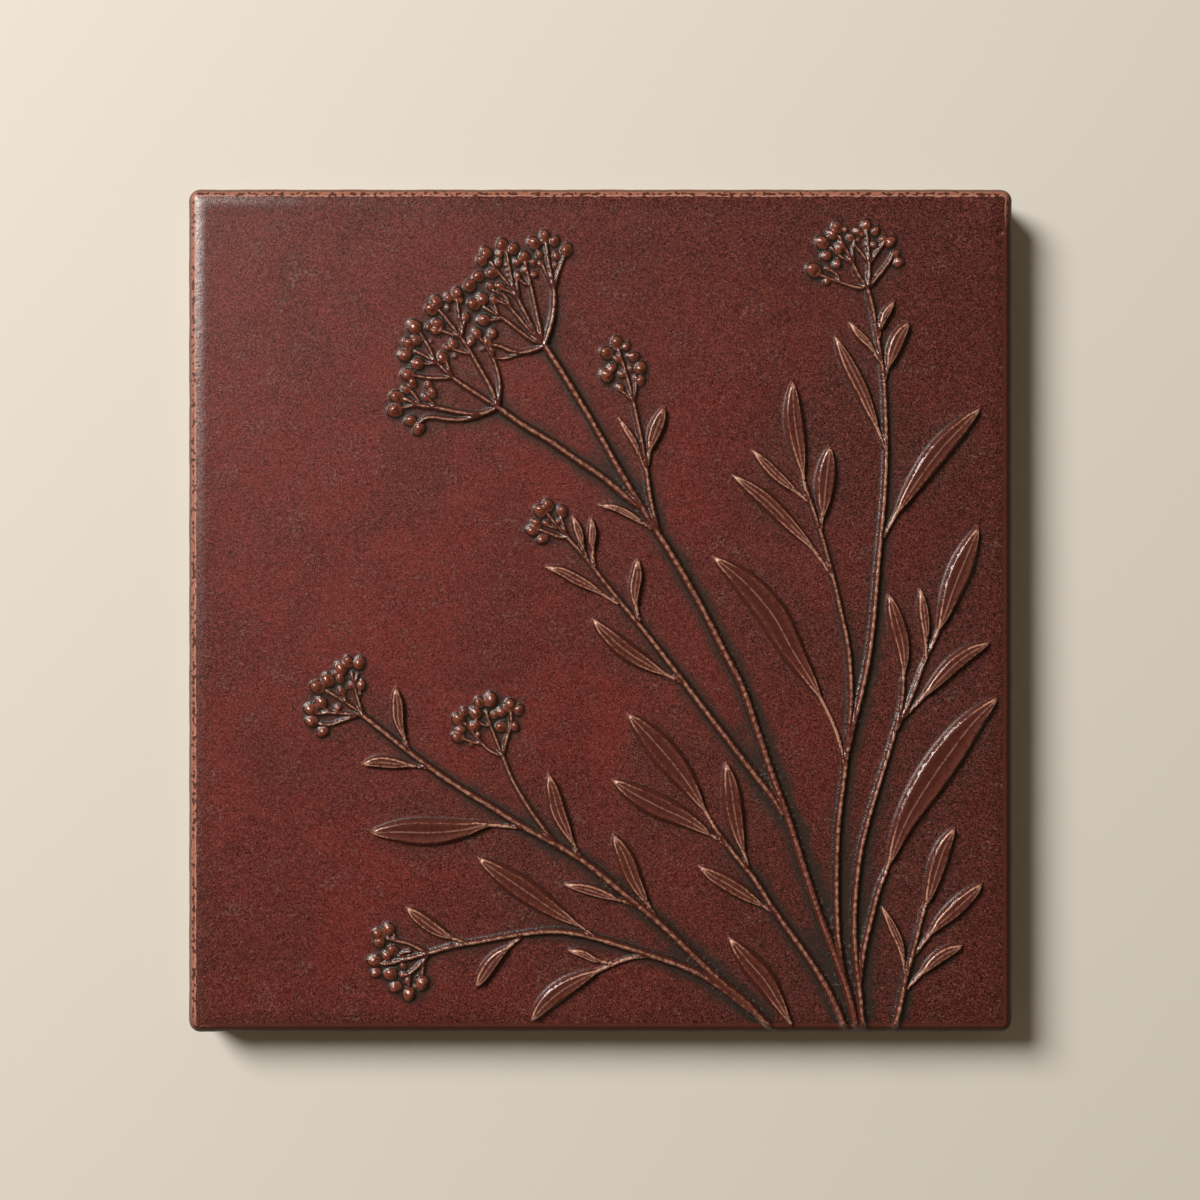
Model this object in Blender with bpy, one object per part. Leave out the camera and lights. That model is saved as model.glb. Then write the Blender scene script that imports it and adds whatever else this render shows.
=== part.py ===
"""Hand-pressed wall tile with a raised wildflower relief: one fired piece, lying face up.

The back lies on Z = 0 and its centre is the origin. Seen from above, X runs to the
tile's right and Y to its top. Sizes below are in millimetres.
"""

import math

import bmesh
import bpy
from mathutils import Matrix, Vector

MM = 0.001

WIDTH = 151.4
HEIGHT = 155.0
THICKNESS = 10.5
CORNER_RADIUS = 2.3
CORNER_STEPS = 4
# The rim is rounded deeper than it is wide, and the face sinks a little towards it
RIM_ROUND_WIDTH = 1.6
RIM_ROUND_DEPTH = 3.0
RIM_ROUND_STEPS = 4
FACE_FALL = 0.2
FACE_FALL_WIDTH = 3.6
BACK_EASE = 0.5

# How high the relief stands: stems and buds by their own half width, leaves by a fixed height
STEM_RISE = 1.6
BUD_RISE = 1.05
LEAF_RISE = 0.75
# The middle of every stem, leaf and bud lies this far under the face, so each meets it at a slope
SUNK = 0.08
STEM_STEP = 6.0
CURVE_STEPS = 8
LEAF_STATIONS = 8
STALK = 0.32
LEAF_TIP = 0.15
# A leaf is widest a little nearer its tip than its stalk, and slightly fuller than a sine
LEAF_LEAN = 0.85
LEAF_FULLNESS = 0.9
BUD_SIDES = 6
BUD_RINGS = 4
WELD = 1e-7

# Each sprig lists its stems as (half width at the top, half width at the foot, route from top to
# foot), its leaves as (half width, share of the route that is blade, route from tip to foot) and
# its buds as (x, y, radius), all measured on the face from its centre.
SPRIGS = {
    "twin_umbel": {
        "stems": [
            (0.5, 0.8, [(-10.2, 48.4), (-6.8, 43.1), (-1.5, 34.4), (3.8, 25.0), (8.5, 17.3),
                        (13.7, 9.0), (18.7, 0.2), (22.4, -7.1), (25.8, -13.7), (28.5, -21.4),
                        (31.5, -30.2), (34.6, -38.7), (37.2, -47.0), (40.0, -55.3),
                        (42.7, -62.4), (45.0, -68.9), (46.6, -75.2)]),
            (0.5, 0.55, [(-18.7, 37.1), (-14.0, 33.8), (-9.3, 31.0), (-5.0, 28.0), (0.3, 24.4),
                         (4.2, 21.2), (7.2, 18.9)]),
            (0.3, 0.5, [(-10.0, 67.0), (-9.6, 63.9), (-8.7, 59.4), (-8.5, 56.5), (-8.9, 53.0),
                        (-10.2, 48.6)]),
            (0.3, 0.35, [(-6.6, 65.0), (-7.9, 61.3), (-8.5, 58.6)]),
            (0.3, 0.3, [(-10.6, 63.0), (-9.7, 60.9), (-8.7, 58.9)]),
            (0.3, 0.4, [(-13.8, 63.5), (-12.6, 58.4), (-11.2, 51.9), (-10.5, 48.7)]),
            (0.3, 0.3, [(-15.1, 60.6), (-13.8, 59.7), (-12.9, 59.4)]),
            (0.3, 0.4, [(-17.2, 65.4), (-16.5, 61.6), (-15.9, 59.0), (-15.0, 56.7),
                        (-12.2, 51.3), (-10.5, 48.8)]),
            (0.3, 0.3, [(-20.0, 63.5), (-17.8, 60.7), (-16.0, 58.8)]),
            (0.3, 0.4, [(-18.9, 56.6), (-17.2, 55.9), (-16.0, 54.7), (-12.8, 51.0),
                        (-10.6, 48.7)]),
            (0.3, 0.3, [(-18.4, 58.9), (-16.4, 58.1), (-15.3, 57.0)]),
            (0.3, 0.4, [(-21.3, 55.4), (-19.2, 54.1), (-17.5, 53.1), (-13.1, 49.8),
                        (-10.6, 48.6)]),
            (0.3, 0.3, [(-20.5, 53.0), (-19.0, 53.2), (-17.8, 53.3)]),
            (0.35, 0.4, [(-20.0, 48.6), (-18.1, 48.2), (-16.6, 47.5), (-14.5, 47.1),
                         (-12.2, 47.6), (-10.4, 48.3)]),
            (0.3, 0.4, [(-22.3, 50.0), (-21.0, 48.5), (-19.4, 45.4), (-18.5, 41.9),
                        (-18.6, 37.4)]),
            (0.3, 0.3, [(-20.3, 49.4), (-19.8, 47.2), (-19.4, 45.4)]),
            (0.3, 0.45, [(-29.4, 54.8), (-27.8, 52.8), (-24.8, 48.9), (-22.2, 44.5),
                         (-19.8, 40.2), (-18.8, 37.4)]),
            (0.3, 0.3, [(-26.2, 56.5), (-25.8, 53.5), (-25.3, 51.6), (-25.5, 49.9)]),
            (0.3, 0.3, [(-29.3, 51.2), (-27.5, 50.6), (-25.6, 49.9)]),
            (0.3, 0.3, [(-28.0, 48.2), (-26.3, 47.5), (-23.9, 46.9)]),
            (0.3, 0.45, [(-33.3, 51.3), (-31.2, 47.8), (-30.2, 45.7), (-27.0, 42.6),
                         (-23.4, 40.1), (-19.0, 37.3)]),
            (0.3, 0.3, [(-33.9, 47.4), (-32.2, 46.6), (-30.4, 45.5)]),
            (0.3, 0.3, [(-28.3, 45.7), (-27.6, 44.0), (-26.8, 42.5)]),
            (0.3, 0.35, [(-34.3, 43.0), (-31.3, 42.5), (-27.2, 42.5)]),
            (0.35, 0.45, [(-35.6, 38.6), (-33.1, 37.5), (-30.7, 37.2), (-25.7, 36.2),
                          (-22.0, 35.9), (-18.9, 37.0)]),
            (0.3, 0.3, [(-31.8, 39.2), (-30.4, 37.6), (-29.0, 36.8)]),
            (0.3, 0.3, [(-35.0, 40.6), (-33.9, 39.3), (-32.7, 37.4)]),
            (0.35, 0.4, [(-33.3, 34.2), (-31.3, 35.3), (-27.2, 34.9), (-24.5, 35.0),
                         (-21.5, 35.8)]),
        ],
        "leaves": [(0.65, 0.95, [(-0.3, 19.3), (2.4, 18.8), (4.9, 17.7), (9.4, 14.9)])],
        "buds": [
            (-10.3, 68.4, 1.0), (-12.3, 67.1, 1.15), (-8.5, 67.5, 0.95), (-6.3, 65.9, 1.1),
            (-8.1, 64.8, 0.8), (-11.2, 65.0, 0.75), (-14.0, 64.5, 1.05), (-15.4, 63.7, 0.75),
            (-12.3, 63.6, 0.75), (-11.0, 63.4, 0.65), (-18.0, 66.7, 1.15), (-16.0, 66.1, 1.0),
            (-18.6, 65.1, 0.75), (-18.7, 63.6, 0.75), (-21.0, 65.3, 1.1), (-21.8, 63.9, 0.95),
            (-20.0, 61.6, 1.0), (-22.4, 61.0, 1.0), (-23.9, 59.4, 1.1), (-15.3, 61.1, 0.75),
            (-12.3, 61.4, 0.7), (-18.4, 59.2, 0.8), (-20.1, 59.2, 0.75), (-21.7, 57.0, 1.1),
            (-23.2, 56.0, 1.1), (-19.5, 56.7, 0.8), (-21.5, 53.1, 1.1), (-19.8, 50.7, 0.9),
            (-20.7, 49.2, 0.8), (-26.3, 57.8, 1.15), (-27.8, 57.2, 0.9), (-30.0, 56.4, 1.15),
            (-31.0, 55.0, 1.1), (-28.1, 55.4, 0.6), (-24.7, 53.6, 0.85), (-29.8, 52.3, 1.1),
            (-30.2, 51.2, 0.9), (-31.5, 51.9, 0.7), (-34.1, 51.9, 1.25), (-33.8, 49.4, 0.95),
            (-35.1, 48.8, 1.1), (-35.8, 46.7, 1.15), (-33.6, 45.1, 1.1), (-35.3, 43.2, 1.15),
            (-34.4, 41.6, 0.85), (-37.2, 39.1, 1.2), (-37.6, 36.6, 1.25), (-35.6, 40.4, 0.8),
            (-34.8, 34.7, 1.0), (-33.3, 33.2, 1.1), (-31.4, 41.2, 0.8), (-30.8, 39.8, 0.9),
            (-22.7, 50.7, 0.95), (-23.7, 49.2, 0.85), (-26.9, 48.8, 0.85), (-28.0, 48.1, 0.7),
            (-28.9, 46.3, 1.0),
        ],
    },
    "bud_spike": {
        "stems": [
            (0.3, 0.5, [(3.2, 47.6), (4.7, 42.9), (5.9, 38.2), (6.9, 33.5), (7.9, 28.5),
                        (8.7, 22.6), (9.6, 17.6), (10.6, 14.0)]),
            (0.3, 0.3, [(3.4, 40.4), (4.7, 39.4), (5.9, 38.0)]),
            (0.3, 0.3, [(6.4, 42.6), (6.3, 40.0), (5.9, 38.0)]),
        ],
        "leaves": [
            (1.3, 0.8, [(11.6, 37.1), (10.7, 34.7), (9.8, 32.4), (9.0, 29.9), (8.5, 26.6)]),
            (0.55, 0.95, [(3.3, 35.1), (4.7, 32.9), (6.1, 30.7), (8.1, 26.0)]),
        ],
        "buds": [
            (2.9, 48.9, 1.15), (4.6, 48.3, 0.8), (1.0, 47.1, 1.15), (3.1, 46.0, 0.85),
            (6.0, 46.4, 0.95), (7.2, 44.4, 1.1), (5.4, 44.2, 0.6), (0.9, 43.0, 1.2),
            (1.9, 44.3, 0.9), (3.7, 43.2, 0.7), (7.2, 42.0, 0.9), (3.4, 40.8, 0.8),
        ],
    },
    "star_sprig": {
        "stems": [
            (0.4, 0.6, [(-6.2, 13.5), (-2.8, 9.8), (0.5, 5.5), (4.6, 0.4), (8.4, -4.2),
                        (13.5, -10.8), (19.1, -18.2), (23.8, -24.3), (28.8, -30.8),
                        (31.2, -33.8), (33.2, -36.9)]),
            (0.3, 0.35, [(-9.9, 18.0), (-8.7, 16.4), (-7.4, 15.0), (-6.1, 13.4)]),
            (0.3, 0.35, [(-7.3, 17.0), (-6.8, 15.4), (-6.2, 13.6)]),
            (0.3, 0.35, [(-11.0, 14.8), (-9.2, 14.1), (-7.8, 13.6), (-6.1, 13.4)]),
        ],
        "leaves": [
            (0.75, 0.85, [(-5.1, 17.2), (-4.2, 14.9), (-3.5, 12.6), (-2.8, 10.0)]),
            (0.75, 0.75, [(-1.7, 16.8), (-1.5, 14.3), (-1.6, 12.0), (-1.3, 8.2)]),
            (1.0, 0.85, [(-9.9, 8.0), (-7.2, 7.2), (-4.5, 5.8), (-1.5, 4.2), (2.9, 1.5)]),
            (1.1, 0.8, [(6.7, 9.4), (6.6, 6.6), (6.2, 4.0), (6.3, 1.6), (7.0, -1.9)]),
            (1.6, 0.88, [(-1.4, -1.5), (0.5, -3.6), (4.6, -7.2), (9.8, -10.5), (14.7, -12.9)]),
        ],
        "buds": [
            (-9.7, 19.3, 1.05), (-11.1, 18.3, 1.15), (-7.2, 18.2, 1.05), (-11.8, 16.0, 0.95),
            (-12.5, 14.8, 1.1), (-10.7, 13.2, 1.0), (-10.0, 16.0, 0.65),
        ],
    },
    "centre_stem": {
        "stems": [
            (0.4, 0.55, [(37.2, 22.8), (38.8, 18.1), (40.5, 12.8), (42.3, 6.1), (43.7, 0.1),
                         (45.1, -6.8), (45.6, -14.0), (45.4, -20.0), (44.5, -29.0),
                         (43.4, -38.0), (43.0, -45.6), (43.0, -54.0), (43.4, -61.0),
                         (44.1, -65.6)]),
        ],
        "leaves": [
            (1.75, 0.88, [(34.9, 41.6), (35.2, 35.0), (36.5, 27.0), (37.3, 22.0)]),
            (1.0, 0.9, [(27.7, 29.2), (30.0, 26.8), (32.6, 24.2), (37.5, 20.2)]),
            (1.4, 0.8, [(24.1, 24.7), (29.8, 20.4), (35.2, 15.0), (38.6, 11.3), (42.3, 6.2)]),
            (1.85, 0.85, [(41.7, 29.8), (41.0, 23.8), (40.5, 18.5), (40.0, 14.4)]),
            (2.7, 0.72, [(20.6, 9.8), (26.2, 5.2), (31.2, -0.6), (34.8, -7.0), (38.6, -13.3),
                         (41.8, -19.4), (43.4, -23.6), (44.5, -28.4)]),
        ],
        "buds": [],
    },
    "tall_umbel": {
        "stems": [
            (0.4, 0.55, [(48.5, 59.2), (49.6, 54.9), (50.6, 48.4), (51.5, 42.8), (51.9, 34.6),
                         (52.0, 28.5), (51.7, 21.4), (51.2, 15.5), (50.5, 8.0), (49.7, -1.7),
                         (48.8, -8.6), (47.5, -14.9), (46.2, -20.0), (45.0, -25.2)]),
            (0.3, 0.35, [(39.6, 61.4), (41.9, 60.5), (43.7, 59.9), (46.6, 59.0), (48.5, 59.0)]),
            (0.3, 0.3, [(41.2, 62.5), (42.8, 61.5), (43.8, 59.8)]),
            (0.3, 0.4, [(43.4, 68.3), (44.9, 65.5), (46.9, 61.3), (48.5, 59.0)]),
            (0.3, 0.3, [(42.0, 66.2), (43.7, 64.6), (45.6, 63.6)]),
            (0.3, 0.4, [(48.4, 69.3), (48.8, 65.2), (48.9, 62.2), (48.7, 59.0)]),
            (0.3, 0.3, [(46.3, 66.7), (47.5, 65.2), (48.8, 63.5)]),
            (0.35, 0.35, [(51.8, 67.3), (50.6, 65.8), (48.9, 63.2)]),
            (0.35, 0.4, [(53.3, 65.2), (52.7, 64.0), (51.2, 61.9), (49.0, 59.3)]),
        ],
        "leaves": [
            (0.75, 0.85, [(53.4, 56.3), (52.2, 54.6), (51.2, 52.6), (50.5, 49.6)]),
            (0.7, 0.85, [(45.4, 52.5), (46.9, 50.5), (48.9, 48.4), (51.0, 45.3)]),
            (1.35, 0.85, [(56.1, 52.5), (54.3, 49.8), (52.8, 46.0), (51.7, 42.2)]),
            (1.3, 0.85, [(42.7, 49.9), (45.3, 44.6), (47.5, 40.2), (49.3, 35.9), (52.1, 28.9)]),
            (2.0, 0.85, [(69.0, 36.8), (66.2, 34.1), (61.6, 29.1), (57.7, 23.8), (54.2, 18.4),
                         (51.4, 13.3)]),
        ],
        "buds": [
            (43.0, 70.0, 1.05), (42.1, 68.7, 0.95), (44.4, 69.6, 0.6), (40.3, 67.2, 1.2),
            (43.4, 66.3, 1.0), (41.0, 64.8, 0.95), (45.5, 68.1, 0.8), (46.7, 69.3, 0.75),
            (47.5, 68.8, 0.6), (48.3, 70.3, 1.0), (50.0, 69.3, 0.85), (49.7, 66.9, 0.7),
            (52.7, 67.4, 1.05), (51.5, 67.8, 0.7), (53.7, 65.1, 0.85), (54.2, 63.6, 0.95),
            (38.7, 62.2, 1.3), (43.0, 63.4, 0.85), (41.2, 60.2, 0.8),
        ],
    },
    "side_stem": {
        "stems": [
            (0.4, 0.6, [(55.1, -12.5), (54.8, -17.0), (53.2, -23.3), (50.9, -30.8),
                        (48.6, -38.6), (47.2, -44.8), (46.4, -52.0), (46.2, -58.6),
                        (46.6, -64.0), (47.1, -68.5), (47.7, -75.2)]),
            (0.35, 0.45, [(60.4, -6.2), (58.6, -10.2), (57.1, -14.3), (55.6, -17.9),
                          (53.9, -21.4)]),
            (0.45, 0.55, [(51.9, -47.6), (50.6, -51.0), (49.2, -56.4), (48.0, -61.5),
                          (47.1, -67.5)]),
        ],
        "leaves": [
            (1.55, 0.85, [(52.5, 2.9), (53.9, -2.0), (54.8, -5.4), (55.2, -9.0), (55.0, -14.5)]),
            (2.15, 0.85, [(68.7, 15.1), (65.9, 8.4), (64.0, 3.6), (62.2, -1.6), (60.0, -7.0)]),
            (0.9, 0.85, [(58.2, 3.9), (58.7, 0.6), (59.1, -3.0), (59.3, -8.6)]),
            (1.45, 0.75, [(70.7, -5.8), (67.4, -7.5), (64.4, -9.7), (61.3, -12.8),
                          (58.0, -16.4), (54.6, -20.0)]),
            (2.95, 0.95, [(72.1, -15.9), (68.2, -19.8), (64.7, -24.2), (59.5, -31.6),
                          (55.2, -39.0), (51.5, -48.6)]),
        ],
        "buds": [],
    },
    "corner_sprig": {
        "stems": [(0.4, 0.6, [(58.8, -54.4), (57.1, -61.3), (55.6, -66.6), (54.6, -71.6),
                              (53.7, -75.2)])],
        "leaves": [
            (1.65, 0.88, [(64.4, -39.5), (62.6, -42.9), (61.1, -47.2), (60.0, -51.0),
                          (58.4, -56.0)]),
            (1.5, 0.75, [(69.4, -49.7), (66.8, -52.2), (64.2, -54.6), (61.1, -57.5),
                         (57.0, -62.7)]),
            (1.1, 0.75, [(65.9, -60.9), (63.0, -62.2), (60.2, -64.2), (55.8, -68.8)]),
            (0.8, 0.85, [(51.3, -54.0), (53.2, -57.8), (54.6, -61.2), (55.6, -67.0)]),
        ],
        "buds": [],
    },
    "low_spray": {
        "stems": [
            (0.45, 0.75, [(-43.5, -18.9), (-37.2, -23.9), (-31.0, -28.6), (-25.7, -32.2),
                          (-19.8, -35.8), (-14.0, -39.4), (-7.0, -43.2), (-2.3, -46.2),
                          (3.9, -51.2), (10.9, -57.0), (17.7, -63.5), (22.4, -67.9),
                          (26.5, -71.3), (30.2, -75.2)]),
            (0.38, 0.42, [(-17.9, -26.4), (-16.2, -30.6), (-12.9, -36.2), (-8.0, -43.0)]),
            (0.3, 0.35, [(-45.4, -11.4), (-44.7, -14.5), (-43.4, -19.1)]),
            (0.3, 0.35, [(-49.8, -14.6), (-47.8, -15.8), (-44.8, -17.8), (-43.4, -19.0)]),
            (0.3, 0.3, [(-47.5, -14.5), (-47.0, -15.2), (-46.2, -16.8)]),
            (0.3, 0.35, [(-51.6, -18.7), (-49.2, -18.5), (-45.7, -18.8), (-43.3, -19.1)]),
            (0.3, 0.35, [(-51.2, -20.6), (-49.2, -20.7), (-47.5, -20.1), (-44.6, -19.1)]),
            (0.3, 0.35, [(-20.9, -18.4), (-20.3, -20.4), (-18.7, -24.5), (-17.8, -26.6)]),
            (0.3, 0.3, [(-22.7, -20.0), (-21.6, -20.6), (-20.2, -21.0)]),
            (0.3, 0.35, [(-24.7, -20.5), (-23.0, -22.5), (-21.6, -24.2), (-20.1, -25.5),
                         (-17.8, -26.5)]),
            (0.3, 0.3, [(-25.2, -23.2), (-23.6, -23.8), (-21.9, -24.2)]),
            (0.3, 0.35, [(-16.4, -18.6), (-16.4, -20.8), (-17.2, -23.4), (-17.8, -26.2)]),
        ],
        "leaves": [
            (1.15, 0.8, [(-37.4, -14.0), (-37.0, -17.0), (-36.7, -20.3), (-35.0, -25.4)]),
            (1.1, 0.75, [(-43.4, -27.9), (-40.7, -27.5), (-37.2, -27.8), (-31.2, -28.6)]),
            (2.4, 0.8, [(-41.8, -40.3), (-36.5, -40.2), (-30.5, -40.3), (-25.2, -39.8),
                        (-20.7, -39.0), (-14.2, -39.5)]),
            (1.5, 0.85, [(-9.5, -29.8), (-8.6, -33.2), (-7.4, -37.4), (-3.8, -44.8)]),
            (1.65, 0.85, [(2.3, -40.8), (4.4, -44.8), (6.3, -49.4), (10.1, -56.0)]),
            (0.95, 0.8, [(-6.5, -49.8), (-2.4, -50.7), (1.6, -52.0), (6.6, -53.8)]),
        ],
        "buds": [
            (-44.1, -9.4, 1.1), (-46.1, -9.2, 1.0), (-47.5, -10.4, 1.2), (-49.8, -12.5, 1.2),
            (-48.4, -11.4, 0.6), (-47.6, -12.3, 0.85), (-51.7, -13.8, 1.25),
            (-43.8, -13.4, 0.95), (-45.6, -13.6, 0.7), (-47.3, -14.5, 0.8),
            (-51.1, -16.6, 1.05), (-52.9, -17.8, 1.2), (-48.0, -17.6, 0.7),
            (-52.8, -20.0, 1.1), (-50.8, -21.9, 1.05),
            (-20.2, -16.1, 1.25), (-22.2, -16.6, 1.0), (-16.7, -17.2, 1.15),
            (-15.0, -18.0, 0.95), (-23.0, -18.6, 1.1), (-25.0, -18.3, 0.8),
            (-26.1, -19.7, 1.15), (-25.7, -21.6, 0.9), (-26.1, -22.9, 1.1),
            (-18.2, -18.3, 0.95), (-19.4, -18.9, 0.8), (-18.2, -21.1, 1.05),
            (-15.9, -21.0, 0.95), (-23.2, -21.0, 1.0), (-23.6, -24.2, 0.6),
        ],
    },
    "trailing_spray": {
        "stems": [
            (0.4, 0.6, [(-31.6, -62.4), (-26.9, -61.1), (-21.9, -60.2), (-15.1, -59.0),
                        (-9.0, -58.4), (-3.5, -59.0), (2.0, -60.5), (9.2, -62.8),
                        (15.0, -64.8), (20.3, -67.5), (27.2, -72.6)]),
            (0.35, 0.35, [(-38.9, -59.6), (-37.2, -60.1), (-34.8, -60.7), (-31.4, -62.4)]),
            (0.35, 0.4, [(-40.0, -64.3), (-38.0, -64.1), (-33.6, -62.9), (-31.4, -62.4)]),
            (0.35, 0.35, [(-36.2, -66.4), (-34.8, -66.0), (-33.0, -64.4), (-31.4, -62.6)]),
            (0.3, 0.35, [(-32.7, -66.8), (-32.5, -65.6), (-32.3, -63.6)]),
            (0.3, 0.3, [(-35.1, -69.0), (-34.8, -66.0)]),
        ],
        "leaves": [
            (1.3, 0.85, [(-35.4, -54.0), (-32.6, -56.2), (-29.4, -58.4), (-24.9, -60.5)]),
            (2.1, 0.85, [(-22.3, -45.0), (-18.6, -47.6), (-13.6, -51.0), (-8.8, -54.3),
                         (-4.2, -57.2), (-0.4, -59.9)]),
            (1.25, 0.8, [(-22.7, -68.5), (-21.1, -65.9), (-18.9, -63.0), (-14.6, -59.4)]),
            (1.75, 0.62, [(-12.6, -74.6), (-10.4, -71.8), (-7.0, -69.0), (-3.0, -66.7),
                          (1.0, -64.9), (5.0, -63.3), (9.0, -62.8)]),
            (0.7, 0.8, [(-5.8, -61.8), (-3.3, -62.4), (-0.8, -63.6), (2.4, -64.3)]),
        ],
        "buds": [
            (-38.8, -57.9, 1.1), (-40.5, -58.8, 1.1), (-40.5, -60.4, 1.0), (-38.0, -61.8, 0.95),
            (-39.2, -62.8, 0.9), (-41.4, -63.7, 1.15), (-41.1, -65.9, 0.95),
            (-38.5, -66.2, 1.15), (-36.1, -64.7, 0.7), (-36.1, -66.3, 0.7),
            (-37.5, -68.5, 1.1), (-35.1, -69.8, 1.2), (-32.7, -67.8, 1.25), (-35.3, -67.4, 0.7),
        ],
    },
    "foot_leaves": {
        "stems": [(0.42, 0.75, [(20.5, -39.2), (24.0, -43.9), (27.8, -48.6), (31.6, -54.5),
                                (36.0, -60.6), (40.2, -66.8), (43.1, -72.4), (44.3, -75.2)])],
        "leaves": [
            (2.4, 0.85, [(5.0, -18.8), (8.5, -22.4), (12.5, -27.0), (16.0, -31.6), (21.2, -40.1)]),
            (2.1, 0.88, [(2.2, -30.8), (6.2, -33.3), (11.0, -35.8), (16.2, -38.3), (23.0, -42.7)]),
            (1.75, 0.85, [(22.8, -27.8), (23.6, -31.5), (24.2, -35.8), (25.1, -40.6),
                          (27.0, -47.4)]),
            (1.45, 0.85, [(18.0, -46.6), (20.6, -48.3), (23.6, -50.0), (32.2, -55.4)]),
            (1.95, 1.0, [(23.4, -59.6), (26.7, -63.6), (29.9, -67.3), (32.4, -71.3),
                         (34.6, -75.2)]),
        ],
        "buds": [],
    },
}


def smooth_route(points, count):
    """Evenly spaced places on a smooth curve that passes through every given point."""
    knots = [Vector(p) for p in points]
    chain = [2 * knots[0] - knots[1], *knots, 2 * knots[-1] - knots[-2]]
    fine = []
    for a, b, c, d in zip(chain, chain[1:], chain[2:], chain[3:]):
        for step in range(CURVE_STEPS):
            t = step / CURVE_STEPS
            fine.append(0.5 * (2 * b + (c - a) * t + (2 * a - 5 * b + 4 * c - d) * t ** 2
                               + (3 * b - a - 3 * c + d) * t ** 3))
    fine.append(knots[-1])
    lengths = [0.0]
    for p, q in zip(fine, fine[1:]):
        lengths.append(lengths[-1] + (q - p).length)
    places = []
    spot = 0
    for n in range(count):
        wanted = lengths[-1] * n / (count - 1)
        while spot < len(fine) - 2 and lengths[spot + 1] < wanted:
            spot += 1
        share = (wanted - lengths[spot]) / (lengths[spot + 1] - lengths[spot])
        places.append(fine[spot].lerp(fine[spot + 1], min(share, 1.0)))
    return places


def route_length(points):
    return sum(math.dist(p, q) for p, q in zip(points, points[1:]))


def add_ridge(relief, places, halves, rise):
    """Adds a tapering bar with a crest along the places, widest at the face, to the relief."""
    curve = bpy.data.curves.new("ridge", "CURVE")
    curve.dimensions = "3D"
    curve.twist_mode = "Z_UP"
    curve.bevel_depth = MM
    curve.bevel_resolution = 0
    curve.use_fill_caps = True
    spline = curve.splines.new("POLY")
    spline.points.add(len(places) - 1)
    for point, place, half in zip(spline.points, places, halves):
        point.co = (place.x * MM, place.y * MM, 0.0, 1.0)
        point.radius = half
    bar = bpy.data.objects.new("ridge", curve)
    bpy.context.collection.objects.link(bar)
    depsgraph = bpy.context.evaluated_depsgraph_get()
    mesh = bpy.data.meshes.new_from_object(bar.evaluated_get(depsgraph))
    bpy.data.objects.remove(bar)
    seat = Matrix.Translation((0.0, 0.0, (THICKNESS - SUNK) * MM))
    mesh.transform(seat @ Matrix.Scale(rise, 4, (0.0, 0.0, 1.0)))
    relief.from_mesh(mesh)
    bpy.data.meshes.remove(mesh)


def add_stem(relief, top_half, foot_half, route):
    count = max(3, round(route_length(route) / STEM_STEP) + 1)
    halves = [top_half + (foot_half - top_half) * n / (count - 1) for n in range(count)]
    add_ridge(relief, smooth_route(route, count), halves, STEM_RISE)


def add_leaf(relief, half, blade, route):
    """A leaf swells from its tip to its widest place, then narrows into its stalk."""
    halves = []
    for n in range(LEAF_STATIONS):
        along = n / (LEAF_STATIONS - 1) / blade
        swell = math.sin(math.pi * min(along, 1.0) ** LEAF_LEAN) ** LEAF_FULLNESS
        halves.append(max(half * swell, LEAF_TIP if n == 0 else STALK))
    add_ridge(relief, smooth_route(route, LEAF_STATIONS), halves, LEAF_RISE / half)


def add_bud(relief, x, y, radius):
    place = Matrix.Translation((x * MM, y * MM, (THICKNESS - SUNK) * MM))
    stretch = Matrix.Scale(BUD_RISE, 4, (0, 0, 1))
    bmesh.ops.create_uvsphere(relief, u_segments=BUD_SIDES, v_segments=BUD_RINGS,
                              radius=radius * MM, matrix=place @ stretch)


def make_relief(sprigs):
    """Every stem, leaf and bud as its own closed shape, half sunk in the face."""
    relief = bmesh.new()
    for sprig in sprigs.values():
        for stem in sprig["stems"]:
            add_stem(relief, *stem)
        for leaf in sprig["leaves"]:
            add_leaf(relief, *leaf)
        for bud in sprig["buds"]:
            add_bud(relief, *bud)
    bmesh.ops.remove_doubles(relief, verts=relief.verts, dist=WELD)
    bmesh.ops.recalc_face_normals(relief, faces=relief.faces)
    mesh = bpy.data.meshes.new("relief")
    relief.to_mesh(mesh)
    relief.free()
    return mesh


def outline(inset):
    """Corners of the rounded outline of the blank, drawn in by the inset, round its centre."""
    half_x, half_y = WIDTH / 2 - CORNER_RADIUS, HEIGHT / 2 - CORNER_RADIUS
    radius = CORNER_RADIUS - inset
    if radius < 0.0:
        half_x, half_y, radius = half_x + radius, half_y + radius, 0.0
    centres = ((half_x, half_y), (-half_x, half_y), (-half_x, -half_y), (half_x, -half_y))
    places = []
    for quarter, (x, y) in enumerate(centres):
        for step in range(CORNER_STEPS + 1 if radius else 1):
            turn = (quarter + step / CORNER_STEPS) * math.pi / 2
            places.append((x + radius * math.cos(turn), y + radius * math.sin(turn)))
    return places


def body_levels():
    """Every ring of the blank as (height, inset), from the eased back edge to the flat face."""
    levels = [(0.0, BACK_EASE), (BACK_EASE, 0.0)]
    rim_top = THICKNESS - FACE_FALL
    for step in range(RIM_ROUND_STEPS + 1):
        turn = math.pi / 2 * step / RIM_ROUND_STEPS
        levels.append((rim_top - RIM_ROUND_DEPTH * (1 - math.sin(turn)),
                       RIM_ROUND_WIDTH * (1 - math.cos(turn))))
    return levels


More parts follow.
